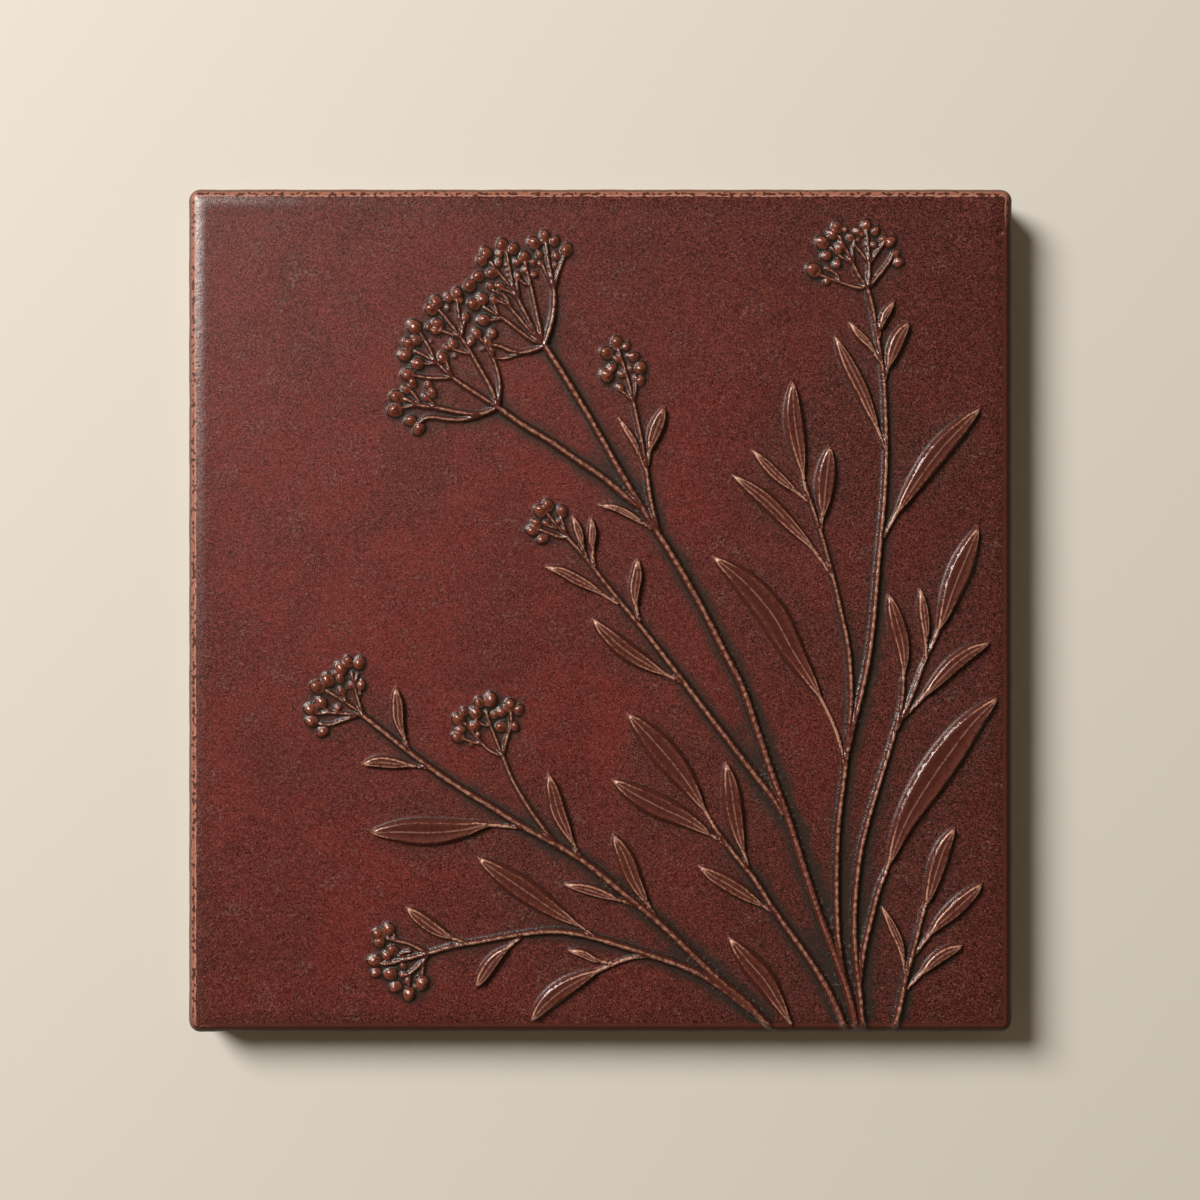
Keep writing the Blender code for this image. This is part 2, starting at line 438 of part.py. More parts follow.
def make_body():
    """The blank: rings of the same outline, one over the other, closed at the back and face."""
    body = bmesh.new()
    rings = []
    for height, inset in body_levels():
        rings.append([body.verts.new((x * MM, y * MM, height * MM)) for x, y in outline(inset)])
    for lower, upper in zip(rings, rings[1:]):
        for n in range(len(lower)):
            m = (n + 1) % len(lower)
            body.faces.new((lower[n], lower[m], upper[m], upper[n]))
    body.faces.new(rings[0][::-1])
    rim_edge = rings[-1]
    inner = [body.verts.new((x * MM, y * MM, THICKNESS * MM))
             for x, y in outline(RIM_ROUND_WIDTH + FACE_FALL_WIDTH)]
    per_corner = len(rim_edge) // len(inner)
    for corner, vertex in enumerate(inner):
        arc = rim_edge[corner * per_corner:(corner + 1) * per_corner]
        for p, q in zip(arc, arc[1:]):
            body.faces.new((p, q, vertex))
        following = rim_edge[(corner + 1) * per_corner % len(rim_edge)]
        body.faces.new((arc[-1], following, inner[(corner + 1) % len(inner)], vertex))
    body.faces.new(inner)
    mesh = bpy.data.meshes.new("relief_tile")
    body.to_mesh(mesh)
    body.free()
    return mesh


def glazed_clay():
    """Satin oxblood glaze, fired on the clay."""
    material = bpy.data.materials.new("oxblood_glaze")
    material.use_nodes = True
    shader = material.node_tree.nodes["Principled BSDF"]
    shader.inputs["Base Color"].default_value = (0.13, 0.03, 0.025, 1.0)
    shader.inputs["Roughness"].default_value = 0.4
    shader.inputs["Metallic"].default_value = 0.0
    return material


def build_tile():
    parts = bpy.data.collections.new("ceramic_wall_tile")
    helpers = bpy.data.collections.new("helpers")
    for collection in (parts, helpers):
        bpy.context.scene.collection.children.link(collection)
    relief = bpy.data.objects.new("relief_shapes", make_relief(SPRIGS))
    relief.hide_render = True
    relief.display_type = "WIRE"
    helpers.objects.link(relief)
    tile = bpy.data.objects.new("relief_tile", make_body())
    tile.data.materials.append(glazed_clay())
    parts.objects.link(tile)
    fuse = tile.modifiers.new("raised_relief", "BOOLEAN")
    fuse.operation = "UNION"
    fuse.solver = "EXACT"
    fuse.use_self = True
    fuse.object = relief


for old in list(bpy.data.objects):
    bpy.data.objects.remove(old)
build_tile()
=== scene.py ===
"""A hand-pressed stoneware wall tile with a raised wildflower relief, in oxblood glaze.

It lies face up on its back. Seen from above, X runs to the tile's right and Y to its top,
and the middle of its back is the origin. Sizes are in millimetres until a mesh is made.
"""

import math

import bpy
import numpy as np
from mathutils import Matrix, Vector
from mathutils.geometry import delaunay_2d_cdt


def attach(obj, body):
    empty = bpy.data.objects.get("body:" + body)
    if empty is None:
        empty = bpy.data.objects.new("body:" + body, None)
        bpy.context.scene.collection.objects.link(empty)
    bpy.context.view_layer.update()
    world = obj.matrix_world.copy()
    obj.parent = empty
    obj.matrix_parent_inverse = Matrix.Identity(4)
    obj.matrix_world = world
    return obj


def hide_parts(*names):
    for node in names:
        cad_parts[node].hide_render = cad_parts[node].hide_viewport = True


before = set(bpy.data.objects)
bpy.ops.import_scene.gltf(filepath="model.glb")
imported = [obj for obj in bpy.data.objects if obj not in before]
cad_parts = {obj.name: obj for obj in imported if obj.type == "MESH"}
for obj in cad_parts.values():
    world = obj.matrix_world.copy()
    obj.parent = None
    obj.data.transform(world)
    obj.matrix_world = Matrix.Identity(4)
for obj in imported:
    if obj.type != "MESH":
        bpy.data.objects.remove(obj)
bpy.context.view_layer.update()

bpy.ops.object.select_all(action="DESELECT")


# ---------------------------------------------------------------------------------------
# The view: a camera hangs straight over the tile, a little above its middle, as one does
# to take a catalogue picture of a flat piece.

MM = 0.001
TILE_THICKNESS = 10.5
CAMERA_OVER_FACE = 304.0
CAMERA_X, CAMERA_Y = -0.07, 1.95

camera_data = bpy.data.cameras.new("view_from_above")
camera_data.lens = 50.0
camera_data.sensor_width = 36.0
camera_data.clip_start = 0.01
camera = bpy.data.objects.new("view_from_above", camera_data)
camera.location = (CAMERA_X * MM, CAMERA_Y * MM, (TILE_THICKNESS + CAMERA_OVER_FACE) * MM)
bpy.context.collection.objects.link(camera)
bpy.context.scene.camera = camera
bpy.context.scene.view_settings.view_transform = "Standard"


# ---------------------------------------------------------------------------------------
# The blank: a slab of stoneware clay, pressed face down in a mould that rounds its corners
# and the whole rim of its face. The face sinks a little towards the rim, and it is never
# quite flat, because the clay shrank as it dried.

TILE_WIDTH = 151.4
TILE_HEIGHT = 155.0
CORNER_RADIUS = 2.3
RIM_ROUND_WIDTH = 1.6
RIM_ROUND_DEPTH = 2.2
RIM_FALL = 0.85
RIM_FALL_WIDTH = 4.2
RIM_FALL_BEND = 2.2
FACE_WAVES = (  # (height, waves per mm across, waves per mm up, start of the wave)
    (0.050, 0.011, 0.006, 0.4),
    (0.040, -0.007, 0.015, 2.1),
    (0.020, 0.031, 0.022, 5.0),
    (0.016, -0.040, 0.034, 1.3),
    (0.009, 0.083, -0.061, 3.7),
    (0.007, 0.055, 0.118, 0.9),
)
# A thumb dent, a worn spot at one corner and a few pits: (x, y, radius, depth)
FACE_MARKS = ((25.6, 54.6, 1.1, 0.16), (22.0, 39.1, 0.6, 0.12), (73.0, 69.0, 0.7, 0.35),
              (-61.7, 62.0, 0.7, 0.05), (-60.0, 8.0, 0.8, 0.05), (57.0, -70.3, 0.5, 0.08))
MARK_STEEPNESS = 1.6


def rim_distance(x, y):
    """How far inside the outline of the blank a place lies."""
    past_x = np.abs(x) - (TILE_WIDTH / 2 - CORNER_RADIUS)
    past_y = np.abs(y) - (TILE_HEIGHT / 2 - CORNER_RADIUS)
    outward = np.hypot(np.maximum(past_x, 0), np.maximum(past_y, 0))
    return CORNER_RADIUS - outward - np.minimum(np.maximum(past_x, past_y), 0)


def blank_height(x, y):
    """The height of the plain face over the back, before the sprigs are raised on it."""
    inside = np.maximum(rim_distance(x, y), 0)
    over_edge = np.maximum(1 - inside / RIM_ROUND_WIDTH, 0)
    drop = RIM_ROUND_DEPTH * (1 - np.sqrt(np.maximum(1 - over_edge ** 2, 0)))
    drop = drop + RIM_FALL * np.maximum(1 - inside / RIM_FALL_WIDTH, 0) ** RIM_FALL_BEND
    for high, across, up, start in FACE_WAVES:
        drop = drop + high * (1 + np.sin(2 * np.pi * (across * x + up * y) + start)) / 2
    for mark_x, mark_y, radius, depth in FACE_MARKS:
        away = np.hypot(x - mark_x, y - mark_y) / radius
        drop = drop + depth * np.exp(-MARK_STEEPNESS * away ** 3)
    return TILE_THICKNESS - drop


EDGE_STEP = 0.9
CORNER_TURNS = 7


def outline():
    """Places round the outline of the blank, each with the direction that faces outward."""
    places = []
    half_x, half_y = TILE_WIDTH / 2 - CORNER_RADIUS, TILE_HEIGHT / 2 - CORNER_RADIUS
    corners = ((half_x, half_y), (-half_x, half_y), (-half_x, -half_y), (half_x, -half_y))
    for n, (centre_x, centre_y) in enumerate(corners):
        for turn in range(CORNER_TURNS + 1):
            angle = (n + turn / CORNER_TURNS) * math.pi / 2
            out_x, out_y = math.cos(angle), math.sin(angle)
            places.append((centre_x + CORNER_RADIUS * out_x, centre_y + CORNER_RADIUS * out_y,
                           out_x, out_y))
        start = places[-1]
        angle = (n + 1) * math.pi / 2
        run = 2 * (half_x if n % 2 == 0 else half_y)
        count = round(run / EDGE_STEP)
        for step in range(1, count):
            along = run * step / count
            places.append((start[0] - math.sin(angle) * along, start[1] + math.cos(angle) * along,
                           start[2], start[3]))
    return np.array(places)


# ---------------------------------------------------------------------------------------
# The sprigs: ten sprays of wildflowers that grow up from the lower right, carved into the
# mould by hand, so they stand up on the clay. Their stems are round bars, their flowers
# clusters of round buds on thin stalks, and their leaves have a raised edge and middle vein.
#
# Each sprig lists its stems as (half width at the top, half width at the foot, route from top to
# foot), its leaves as (half width, share of the route that is blade, route from tip to foot) and
# its buds as (x, y, radius), all measured on the face from its centre.

SPRIGS = {
    "twin_umbel": {
        "stems": [
            (0.5, 0.8, [(-10.2, 48.4), (-6.8, 43.1), (-1.5, 34.4), (3.8, 25.0), (8.5, 17.3),
                (13.7, 9.0), (18.7, 0.2), (22.4, -7.1), (25.8, -13.7), (28.5, -21.4),
                (31.5, -30.2), (34.6, -38.7), (37.2, -47.0), (40.0, -55.3), (42.7, -62.4),
                (45.0, -68.9), (46.6, -75.2)]),
            (0.5, 0.55, [(-18.7, 37.1), (-14.0, 33.8), (-9.3, 31.0), (-5.0, 28.0), (0.3, 24.4),
                (4.2, 21.2), (7.2, 18.9)]),
            (0.3, 0.5, [(-10.0, 67.0), (-9.6, 63.9), (-8.7, 59.4), (-8.5, 56.5), (-8.9, 53.0),
                (-10.2, 48.6)]),
            (0.3, 0.35, [(-6.6, 65.0), (-7.9, 61.3), (-8.5, 58.6)]),
            (0.3, 0.3, [(-10.6, 63.0), (-9.7, 60.9), (-8.7, 58.9)]),
            (0.3, 0.4, [(-13.8, 63.5), (-12.6, 58.4), (-11.2, 51.9), (-10.5, 48.7)]),
            (0.3, 0.3, [(-15.1, 60.6), (-13.8, 59.7), (-12.9, 59.4)]),
            (0.3, 0.4, [(-17.2, 65.4), (-16.5, 61.6), (-15.9, 59.0), (-15.0, 56.7), (-12.2, 51.3),
                (-10.5, 48.8)]),
            (0.3, 0.3, [(-20.0, 63.5), (-17.8, 60.7), (-16.0, 58.8)]),
            (0.3, 0.4, [(-18.9, 56.6), (-17.2, 55.9), (-16.0, 54.7), (-12.8, 51.0),
                (-10.6, 48.7)]),
            (0.3, 0.3, [(-18.4, 58.9), (-16.4, 58.1), (-15.3, 57.0)]),
            (0.3, 0.4, [(-21.3, 55.4), (-19.2, 54.1), (-17.5, 53.1), (-13.1, 49.8),
                (-10.6, 48.6)]),
            (0.3, 0.3, [(-20.5, 53.0), (-19.0, 53.2), (-17.8, 53.3)]),
            (0.35, 0.4, [(-20.0, 48.6), (-18.1, 48.2), (-16.6, 47.5), (-14.5, 47.1), (-12.2, 47.6),
                (-10.4, 48.3)]),
            (0.3, 0.4, [(-22.3, 50.0), (-21.0, 48.5), (-19.4, 45.4), (-18.5, 41.9),
                (-18.6, 37.4)]),
            (0.3, 0.3, [(-20.3, 49.4), (-19.8, 47.2), (-19.4, 45.4)]),
            (0.3, 0.45, [(-29.4, 54.8), (-27.8, 52.8), (-24.8, 48.9), (-22.2, 44.5), (-19.8, 40.2),
                (-18.8, 37.4)]),
            (0.3, 0.3, [(-26.2, 56.5), (-25.8, 53.5), (-25.3, 51.6), (-25.5, 49.9)]),
            (0.3, 0.3, [(-29.3, 51.2), (-27.5, 50.6), (-25.6, 49.9)]),
            (0.3, 0.3, [(-28.0, 48.2), (-26.3, 47.5), (-23.9, 46.9)]),
            (0.3, 0.45, [(-33.3, 51.3), (-31.2, 47.8), (-30.2, 45.7), (-27.0, 42.6), (-23.4, 40.1),
                (-19.0, 37.3)]),
            (0.3, 0.3, [(-33.9, 47.4), (-32.2, 46.6), (-30.4, 45.5)]),
            (0.3, 0.3, [(-28.3, 45.7), (-27.6, 44.0), (-26.8, 42.5)]),
            (0.3, 0.35, [(-34.3, 43.0), (-31.3, 42.5), (-27.2, 42.5)]),
            (0.35, 0.45, [(-35.6, 38.6), (-33.1, 37.5), (-30.7, 37.2), (-25.7, 36.2),
                (-22.0, 35.9), (-18.9, 37.0)]),
            (0.3, 0.3, [(-31.8, 39.2), (-30.4, 37.6), (-29.0, 36.8)]),
            (0.3, 0.3, [(-35.0, 40.6), (-33.9, 39.3), (-32.7, 37.4)]),
            (0.35, 0.4, [(-33.3, 34.2), (-31.3, 35.3), (-27.2, 34.9), (-24.5, 35.0),
                (-21.5, 35.8)]),
            (0.25, 0.3, [(-15.3, 60.6), (-15.1, 58.4), (-14.9, 56.6)]),
            (0.25, 0.3, [(-19.5, 58.4), (-17.5, 57.4), (-16.4, 55.4)]),
            (0.25, 0.3, [(-19.5, 56.2), (-19.1, 55.0), (-18.5, 53.7)]),
            (0.25, 0.3, [(-19.4, 46.1), (-17.5, 46.1), (-15.6, 46.6), (-14.0, 47.1)]),
            (0.25, 0.3, [(-24.8, 53.3), (-25.0, 51.9), (-25.4, 50.2)]),
            (0.25, 0.3, [(-24.0, 49.5), (-24.0, 48.5), (-24.0, 47.5)]),
            (0.25, 0.3, [(-33.2, 45.1), (-31.7, 45.1), (-30.2, 45.1)]),
            (0.25, 0.3, [(-36.5, 37.0), (-35.0, 37.3), (-33.5, 37.5)]),
        ],
        "leaves": [
            (0.65, 0.95, [(-0.3, 19.3), (2.4, 18.8), (4.9, 17.7), (9.4, 14.9)]),
        ],
        "buds": [
            (-10.3, 68.4, 1.0), (-12.3, 67.1, 1.15), (-8.5, 67.5, 0.95), (-6.3, 65.9, 1.1),
            (-8.1, 64.8, 0.8), (-11.2, 65.0, 0.75), (-14.0, 64.5, 1.05), (-15.4, 63.7, 0.75),
            (-12.3, 63.6, 0.75), (-11.0, 63.4, 0.65), (-18.0, 66.7, 1.15), (-16.0, 66.1, 1.0),
            (-18.6, 65.1, 0.75), (-18.7, 63.6, 0.75), (-21.0, 65.3, 1.1), (-21.8, 63.9, 0.95),
            (-20.0, 61.6, 1.0), (-22.4, 61.0, 1.0), (-23.9, 59.4, 1.1), (-15.3, 61.1, 0.75),
            (-12.3, 61.4, 0.7), (-18.4, 59.2, 0.8), (-20.1, 59.2, 0.75), (-21.7, 57.0, 1.1),
            (-23.2, 56.0, 1.1), (-19.5, 56.7, 0.8), (-21.5, 53.1, 1.1), (-19.8, 50.7, 0.9),
            (-20.7, 49.2, 0.8), (-26.3, 57.8, 1.15), (-27.8, 57.2, 0.9), (-30.0, 56.4, 1.15),
            (-31.0, 55.0, 1.1), (-28.1, 55.4, 0.6), (-24.7, 53.6, 0.85), (-29.8, 52.3, 1.1),
            (-30.2, 51.2, 0.9), (-31.5, 51.9, 0.7), (-34.1, 51.9, 1.25), (-33.8, 49.4, 0.95),
            (-35.1, 48.8, 1.1), (-35.8, 46.7, 1.15), (-33.6, 45.1, 1.1), (-35.3, 43.2, 1.15),
            (-34.4, 41.6, 0.85), (-37.2, 39.1, 1.2), (-37.6, 36.6, 1.25), (-35.6, 40.4, 0.8),
            (-34.8, 34.7, 1.0), (-33.3, 33.2, 1.1), (-31.4, 41.2, 0.8), (-30.8, 39.8, 0.9),
            (-22.7, 50.7, 0.95), (-23.7, 49.2, 0.85), (-26.9, 48.8, 0.85), (-28.0, 48.1, 0.7),
            (-28.9, 46.3, 1.0), (-10.6, 67.5, 0.55), (-14.0, 62.2, 0.6), (-17.3, 63.2, 0.45),
            (-17.1, 62.2, 0.4), (-17.0, 61.3, 0.4), (-8.4, 63.1, 0.6), (-19.1, 55.0, 0.5),
            (-25.6, 56.7, 0.6), (-31.0, 49.2, 0.4), (-32.0, 39.0, 0.75), (-26.6, 46.6, 0.5),
            (-21.6, 47.8, 0.45), (-19.7, 47.6, 0.5),
        ],
    },
    "bud_spike": {
        "stems": [
            (0.3, 0.5, [(3.2, 47.6), (4.7, 42.9), (5.9, 38.2), (6.9, 33.5), (7.9, 28.5),
                (8.7, 22.6), (9.6, 17.6), (10.6, 14.0)]),
            (0.3, 0.3, [(3.4, 40.4), (4.7, 39.4), (5.9, 38.0)]),
            (0.3, 0.3, [(6.4, 42.6), (6.3, 40.0), (5.9, 38.0)]),
        ],
        "leaves": [
            (1.3, 0.8, [(11.6, 37.1), (10.7, 34.7), (9.8, 32.4), (9.0, 29.9), (8.5, 26.6)]),
            (0.55, 0.95, [(3.3, 35.1), (4.7, 32.9), (6.1, 30.7), (8.1, 26.0)]),
        ],
        "buds": [
            (2.9, 48.9, 1.15), (4.6, 48.3, 0.8), (1.0, 47.1, 1.15), (3.1, 46.0, 0.85),
            (6.0, 46.4, 0.95), (7.2, 44.4, 1.1), (5.4, 44.2, 0.6), (0.9, 43.0, 1.2),
            (1.9, 44.3, 0.9), (3.7, 43.2, 0.7), (7.2, 42.0, 0.9), (3.4, 40.8, 0.8),
            (4.9, 46.7, 0.45), (6.2, 42.6, 0.5),
        ],
    },
    "star_sprig": {
        "stems": [
            (0.4, 0.6, [(-6.2, 13.5), (-2.8, 9.8), (0.5, 5.5), (4.6, 0.4), (8.4, -4.2),
                (13.5, -10.8), (19.1, -18.2), (23.8, -24.3), (28.8, -30.8), (31.2, -33.8),
                (33.2, -36.9)]),
            (0.3, 0.35, [(-9.9, 18.0), (-8.7, 16.4), (-7.4, 15.0), (-6.1, 13.4)]),
            (0.3, 0.35, [(-7.3, 17.0), (-6.8, 15.4), (-6.2, 13.6)]),
            (0.3, 0.35, [(-11.0, 14.8), (-9.2, 14.1), (-7.8, 13.6), (-6.1, 13.4)]),
            (0.25, 0.3, [(-10.2, 16.1), (-9.2, 15.4), (-7.5, 15.0)]),
        ],
        "leaves": [
            (0.75, 0.85, [(-5.1, 17.2), (-4.2, 14.9), (-3.5, 12.6), (-2.8, 10.0)]),
            (0.75, 0.75, [(-1.7, 16.8), (-1.5, 14.3), (-1.6, 12.0), (-1.3, 8.2)]),
            (1.0, 0.85, [(-9.9, 8.0), (-7.2, 7.2), (-4.5, 5.8), (-1.5, 4.2), (2.9, 1.5)]),
            (1.1, 0.8, [(6.7, 9.4), (6.6, 6.6), (6.2, 4.0), (6.3, 1.6), (7.0, -1.9)]),
            (1.6, 0.88, [(-1.4, -1.5), (0.5, -3.6), (4.6, -7.2), (9.8, -10.5), (14.7, -12.9)]),
        ],
        "buds": [
            (-9.7, 19.3, 1.05), (-11.1, 18.3, 1.15), (-7.2, 18.2, 1.05), (-11.8, 16.0, 0.95),
            (-12.5, 14.8, 1.1), (-10.7, 13.2, 1.0), (-10.0, 16.0, 0.65), (-7.9, 16.4, 0.5),
        ],
    },
    "centre_stem": {
        "stems": [
            (0.4, 0.55, [(37.2, 22.8), (38.8, 18.1), (40.5, 12.8), (42.3, 6.1), (43.7, 0.1),
                (45.1, -6.8), (45.6, -14.0), (45.4, -20.0), (44.5, -29.0), (43.4, -38.0),
                (43.0, -45.6), (43.0, -54.0), (43.4, -61.0), (44.1, -65.6)]),
        ],
        "leaves": [
            (1.75, 0.88, [(34.9, 41.6), (35.2, 35.0), (36.5, 27.0), (37.3, 22.0)]),
            (1.0, 0.9, [(27.7, 29.2), (30.0, 26.8), (32.6, 24.2), (37.5, 20.2)]),
            (1.4, 0.8, [(24.1, 24.7), (29.8, 20.4), (35.2, 15.0), (38.6, 11.3), (42.3, 6.2)]),
            (1.85, 0.85, [(41.7, 29.8), (41.0, 23.8), (40.5, 18.5), (40.0, 14.4)]),
            (2.7, 0.72, [(20.6, 9.8), (26.2, 5.2), (31.2, -0.6), (34.8, -7.0), (38.6, -13.3),
                (41.8, -19.4), (43.4, -23.6), (44.5, -28.4)]),
        ],
        "buds": [],
    },
    "tall_umbel": {
        "stems": [
            (0.4, 0.55, [(48.5, 59.2), (49.6, 54.9), (50.6, 48.4), (51.5, 42.8), (51.9, 34.6),
                (52.0, 28.5), (51.7, 21.4), (51.2, 15.5), (50.5, 8.0), (49.7, -1.7), (48.8, -8.6),
                (47.5, -14.9), (46.2, -20.0), (45.0, -25.2)]),
            (0.3, 0.35, [(39.6, 61.4), (41.9, 60.5), (43.7, 59.9), (46.6, 59.0), (48.5, 59.0)]),
            (0.3, 0.3, [(41.2, 62.5), (42.8, 61.5), (43.8, 59.8)]),
            (0.3, 0.4, [(43.4, 68.3), (44.9, 65.5), (46.9, 61.3), (48.5, 59.0)]),
            (0.3, 0.3, [(42.0, 66.2), (43.7, 64.6), (45.6, 63.6)]),
            (0.3, 0.4, [(48.4, 69.3), (48.8, 65.2), (48.9, 62.2), (48.7, 59.0)]),
            (0.3, 0.3, [(46.3, 66.7), (47.5, 65.2), (48.8, 63.5)]),
            (0.35, 0.35, [(51.8, 67.3), (50.6, 65.8), (48.9, 63.2)]),
            (0.35, 0.4, [(53.3, 65.2), (52.7, 64.0), (51.2, 61.9), (49.0, 59.3)]),
            (0.25, 0.3, [(46.3, 67.6), (45.9, 65.6), (46.1, 63.2)]),
        ],
        "leaves": [
            (0.75, 0.85, [(53.4, 56.3), (52.2, 54.6), (51.2, 52.6), (50.5, 49.6)]),
            (0.7, 0.85, [(45.4, 52.5), (46.9, 50.5), (48.9, 48.4), (51.0, 45.3)]),
            (1.35, 0.85, [(56.1, 52.5), (54.3, 49.8), (52.8, 46.0), (51.7, 42.2)]),
            (1.3, 0.85, [(42.7, 49.9), (45.3, 44.6), (47.5, 40.2), (49.3, 35.9), (52.1, 28.9)]),
            (2.0, 0.85, [(69.0, 36.8), (66.2, 34.1), (61.6, 29.1), (57.7, 23.8), (54.2, 18.4),
                (51.4, 13.3)]),
        ],
        "buds": [
            (43.0, 70.0, 1.05), (42.1, 68.7, 0.95), (44.4, 69.6, 0.6), (40.3, 67.2, 1.2),
            (43.4, 66.3, 1.0), (41.0, 64.8, 0.95), (45.5, 68.1, 0.8), (46.7, 69.3, 0.75),
            (47.5, 68.8, 0.6), (48.3, 70.3, 1.0), (50.0, 69.3, 0.85), (49.7, 66.9, 0.7),
            (52.7, 67.4, 1.05), (51.5, 67.8, 0.7), (53.7, 65.1, 0.85), (54.2, 63.6, 0.95),
            (38.7, 62.2, 1.3), (43.0, 63.4, 0.85), (41.2, 60.2, 0.8), (46.9, 67.7, 0.5),
            (48.3, 66.9, 0.4), (41.3, 62.4, 0.55),
        ],
    },
    "side_stem": {
        "stems": [
            (0.4, 0.6, [(55.1, -12.5), (54.8, -17.0), (53.2, -23.3), (50.9, -30.8), (48.6, -38.6),
                (47.2, -44.8), (46.4, -52.0), (46.2, -58.6), (46.6, -64.0), (47.1, -68.5),
                (47.7, -75.2)]),
            (0.35, 0.45, [(60.4, -6.2), (58.6, -10.2), (57.1, -14.3), (55.6, -17.9),
                (53.9, -21.4)]),
            (0.45, 0.55, [(51.9, -47.6), (50.6, -51.0), (49.2, -56.4), (48.0, -61.5),
                (47.1, -67.5)]),
        ],
        "leaves": [
            (1.55, 0.85, [(52.5, 2.9), (53.9, -2.0), (54.8, -5.4), (55.2, -9.0), (55.0, -14.5)]),
            (2.15, 0.85, [(68.7, 15.1), (65.9, 8.4), (64.0, 3.6), (62.2, -1.6), (60.0, -7.0)]),
            (0.9, 0.85, [(58.2, 3.9), (58.7, 0.6), (59.1, -3.0), (59.3, -8.6)]),
            (1.45, 0.75, [(70.7, -5.8), (67.4, -7.5), (64.4, -9.7), (61.3, -12.8), (58.0, -16.4),
                (54.6, -20.0)]),
            (2.95, 0.95, [(72.1, -15.9), (68.2, -19.8), (64.7, -24.2), (59.5, -31.6),
                (55.2, -39.0), (51.5, -48.6)]),
        ],
        "buds": [],
    },
    "corner_sprig": {
        "stems": [
            (0.4, 0.6, [(58.8, -54.4), (57.1, -61.3), (55.6, -66.6), (54.6, -71.6),
                (53.7, -75.2)]),
        ],
        "leaves": [
            (1.65, 0.88, [(64.4, -39.5), (62.6, -42.9), (61.1, -47.2), (60.0, -51.0),
                (58.4, -56.0)]),
            (1.5, 0.75, [(69.4, -49.7), (66.8, -52.2), (64.2, -54.6), (61.1, -57.5),
                (57.0, -62.7)]),
            (1.1, 0.75, [(65.9, -60.9), (63.0, -62.2), (60.2, -64.2), (55.8, -68.8)]),
            (0.8, 0.85, [(51.3, -54.0), (53.2, -57.8), (54.6, -61.2), (55.6, -67.0)]),
        ],
        "buds": [],
    },
    "low_spray": {
        "stems": [
            (0.45, 0.75, [(-43.5, -18.9), (-37.2, -23.9), (-31.0, -28.6), (-25.7, -32.2),
                (-19.8, -35.8), (-14.0, -39.4), (-7.0, -43.2), (-2.3, -46.2), (3.9, -51.2),
                (10.9, -57.0), (17.7, -63.5), (22.4, -67.9), (26.5, -71.3), (30.2, -75.2)]),
            (0.38, 0.42, [(-17.9, -26.4), (-16.2, -30.6), (-12.9, -36.2), (-8.0, -43.0)]),
            (0.3, 0.35, [(-45.4, -11.4), (-44.7, -14.5), (-43.4, -19.1)]),
            (0.3, 0.35, [(-49.8, -14.6), (-47.8, -15.8), (-44.8, -17.8), (-43.4, -19.0)]),
            (0.3, 0.3, [(-47.5, -14.5), (-47.0, -15.2), (-46.2, -16.8)]),
            (0.3, 0.35, [(-51.6, -18.7), (-49.2, -18.5), (-45.7, -18.8), (-43.3, -19.1)]),
            (0.3, 0.35, [(-51.2, -20.6), (-49.2, -20.7), (-47.5, -20.1), (-44.6, -19.1)]),
            (0.3, 0.35, [(-20.9, -18.4), (-20.3, -20.4), (-18.7, -24.5), (-17.8, -26.6)]),
            (0.3, 0.3, [(-22.7, -20.0), (-21.6, -20.6), (-20.2, -21.0)]),
            (0.3, 0.35, [(-24.7, -20.5), (-23.0, -22.5), (-21.6, -24.2), (-20.1, -25.5),
                (-17.8, -26.5)]),
            (0.3, 0.3, [(-25.2, -23.2), (-23.6, -23.8), (-21.9, -24.2)]),
            (0.3, 0.35, [(-16.4, -18.6), (-16.4, -20.8), (-17.2, -23.4), (-17.8, -26.2)]),
            (0.25, 0.3, [(-44.7, -13.9), (-44.6, -12.8), (-44.4, -11.6)]),
            (0.25, 0.3, [(-43.8, -13.9), (-43.9, -14.5), (-43.9, -15.1)]),
            (0.25, 0.3, [(-50.4, -17.8), (-49.8, -18.1), (-49.2, -18.5)]),
        ],
        "leaves": [
            (1.15, 0.8, [(-37.4, -14.0), (-37.0, -17.0), (-36.7, -20.3), (-35.0, -25.4)]),
            (1.1, 0.75, [(-43.4, -27.9), (-40.7, -27.5), (-37.2, -27.8), (-31.2, -28.6)]),
            (2.4, 0.8, [(-41.8, -40.3), (-36.5, -40.2), (-30.5, -40.3), (-25.2, -39.8),
                (-20.7, -39.0), (-14.2, -39.5)]),
            (1.5, 0.85, [(-9.5, -29.8), (-8.6, -33.2), (-7.4, -37.4), (-3.8, -44.8)]),
            (1.65, 0.85, [(2.3, -40.8), (4.4, -44.8), (6.3, -49.4), (10.1, -56.0)]),
            (0.95, 0.8, [(-6.5, -49.8), (-2.4, -50.7), (1.6, -52.0), (6.6, -53.8)]),
        ],
        "buds": [
            (-44.1, -9.4, 1.1), (-46.1, -9.2, 1.0), (-47.5, -10.4, 1.2), (-49.8, -12.5, 1.2),
            (-48.4, -11.4, 0.6), (-47.6, -12.3, 0.85), (-51.7, -13.8, 1.25), (-43.8, -13.4, 0.95),
            (-45.6, -13.6, 0.7), (-47.3, -14.5, 0.8), (-51.1, -16.6, 1.05), (-52.9, -17.8, 1.2),
            (-48.0, -17.6, 0.7), (-52.8, -20.0, 1.1), (-50.8, -21.9, 1.05), (-20.2, -16.1, 1.25),
            (-22.2, -16.6, 1.0), (-16.7, -17.2, 1.15), (-15.0, -18.0, 0.95), (-23.0, -18.6, 1.1),
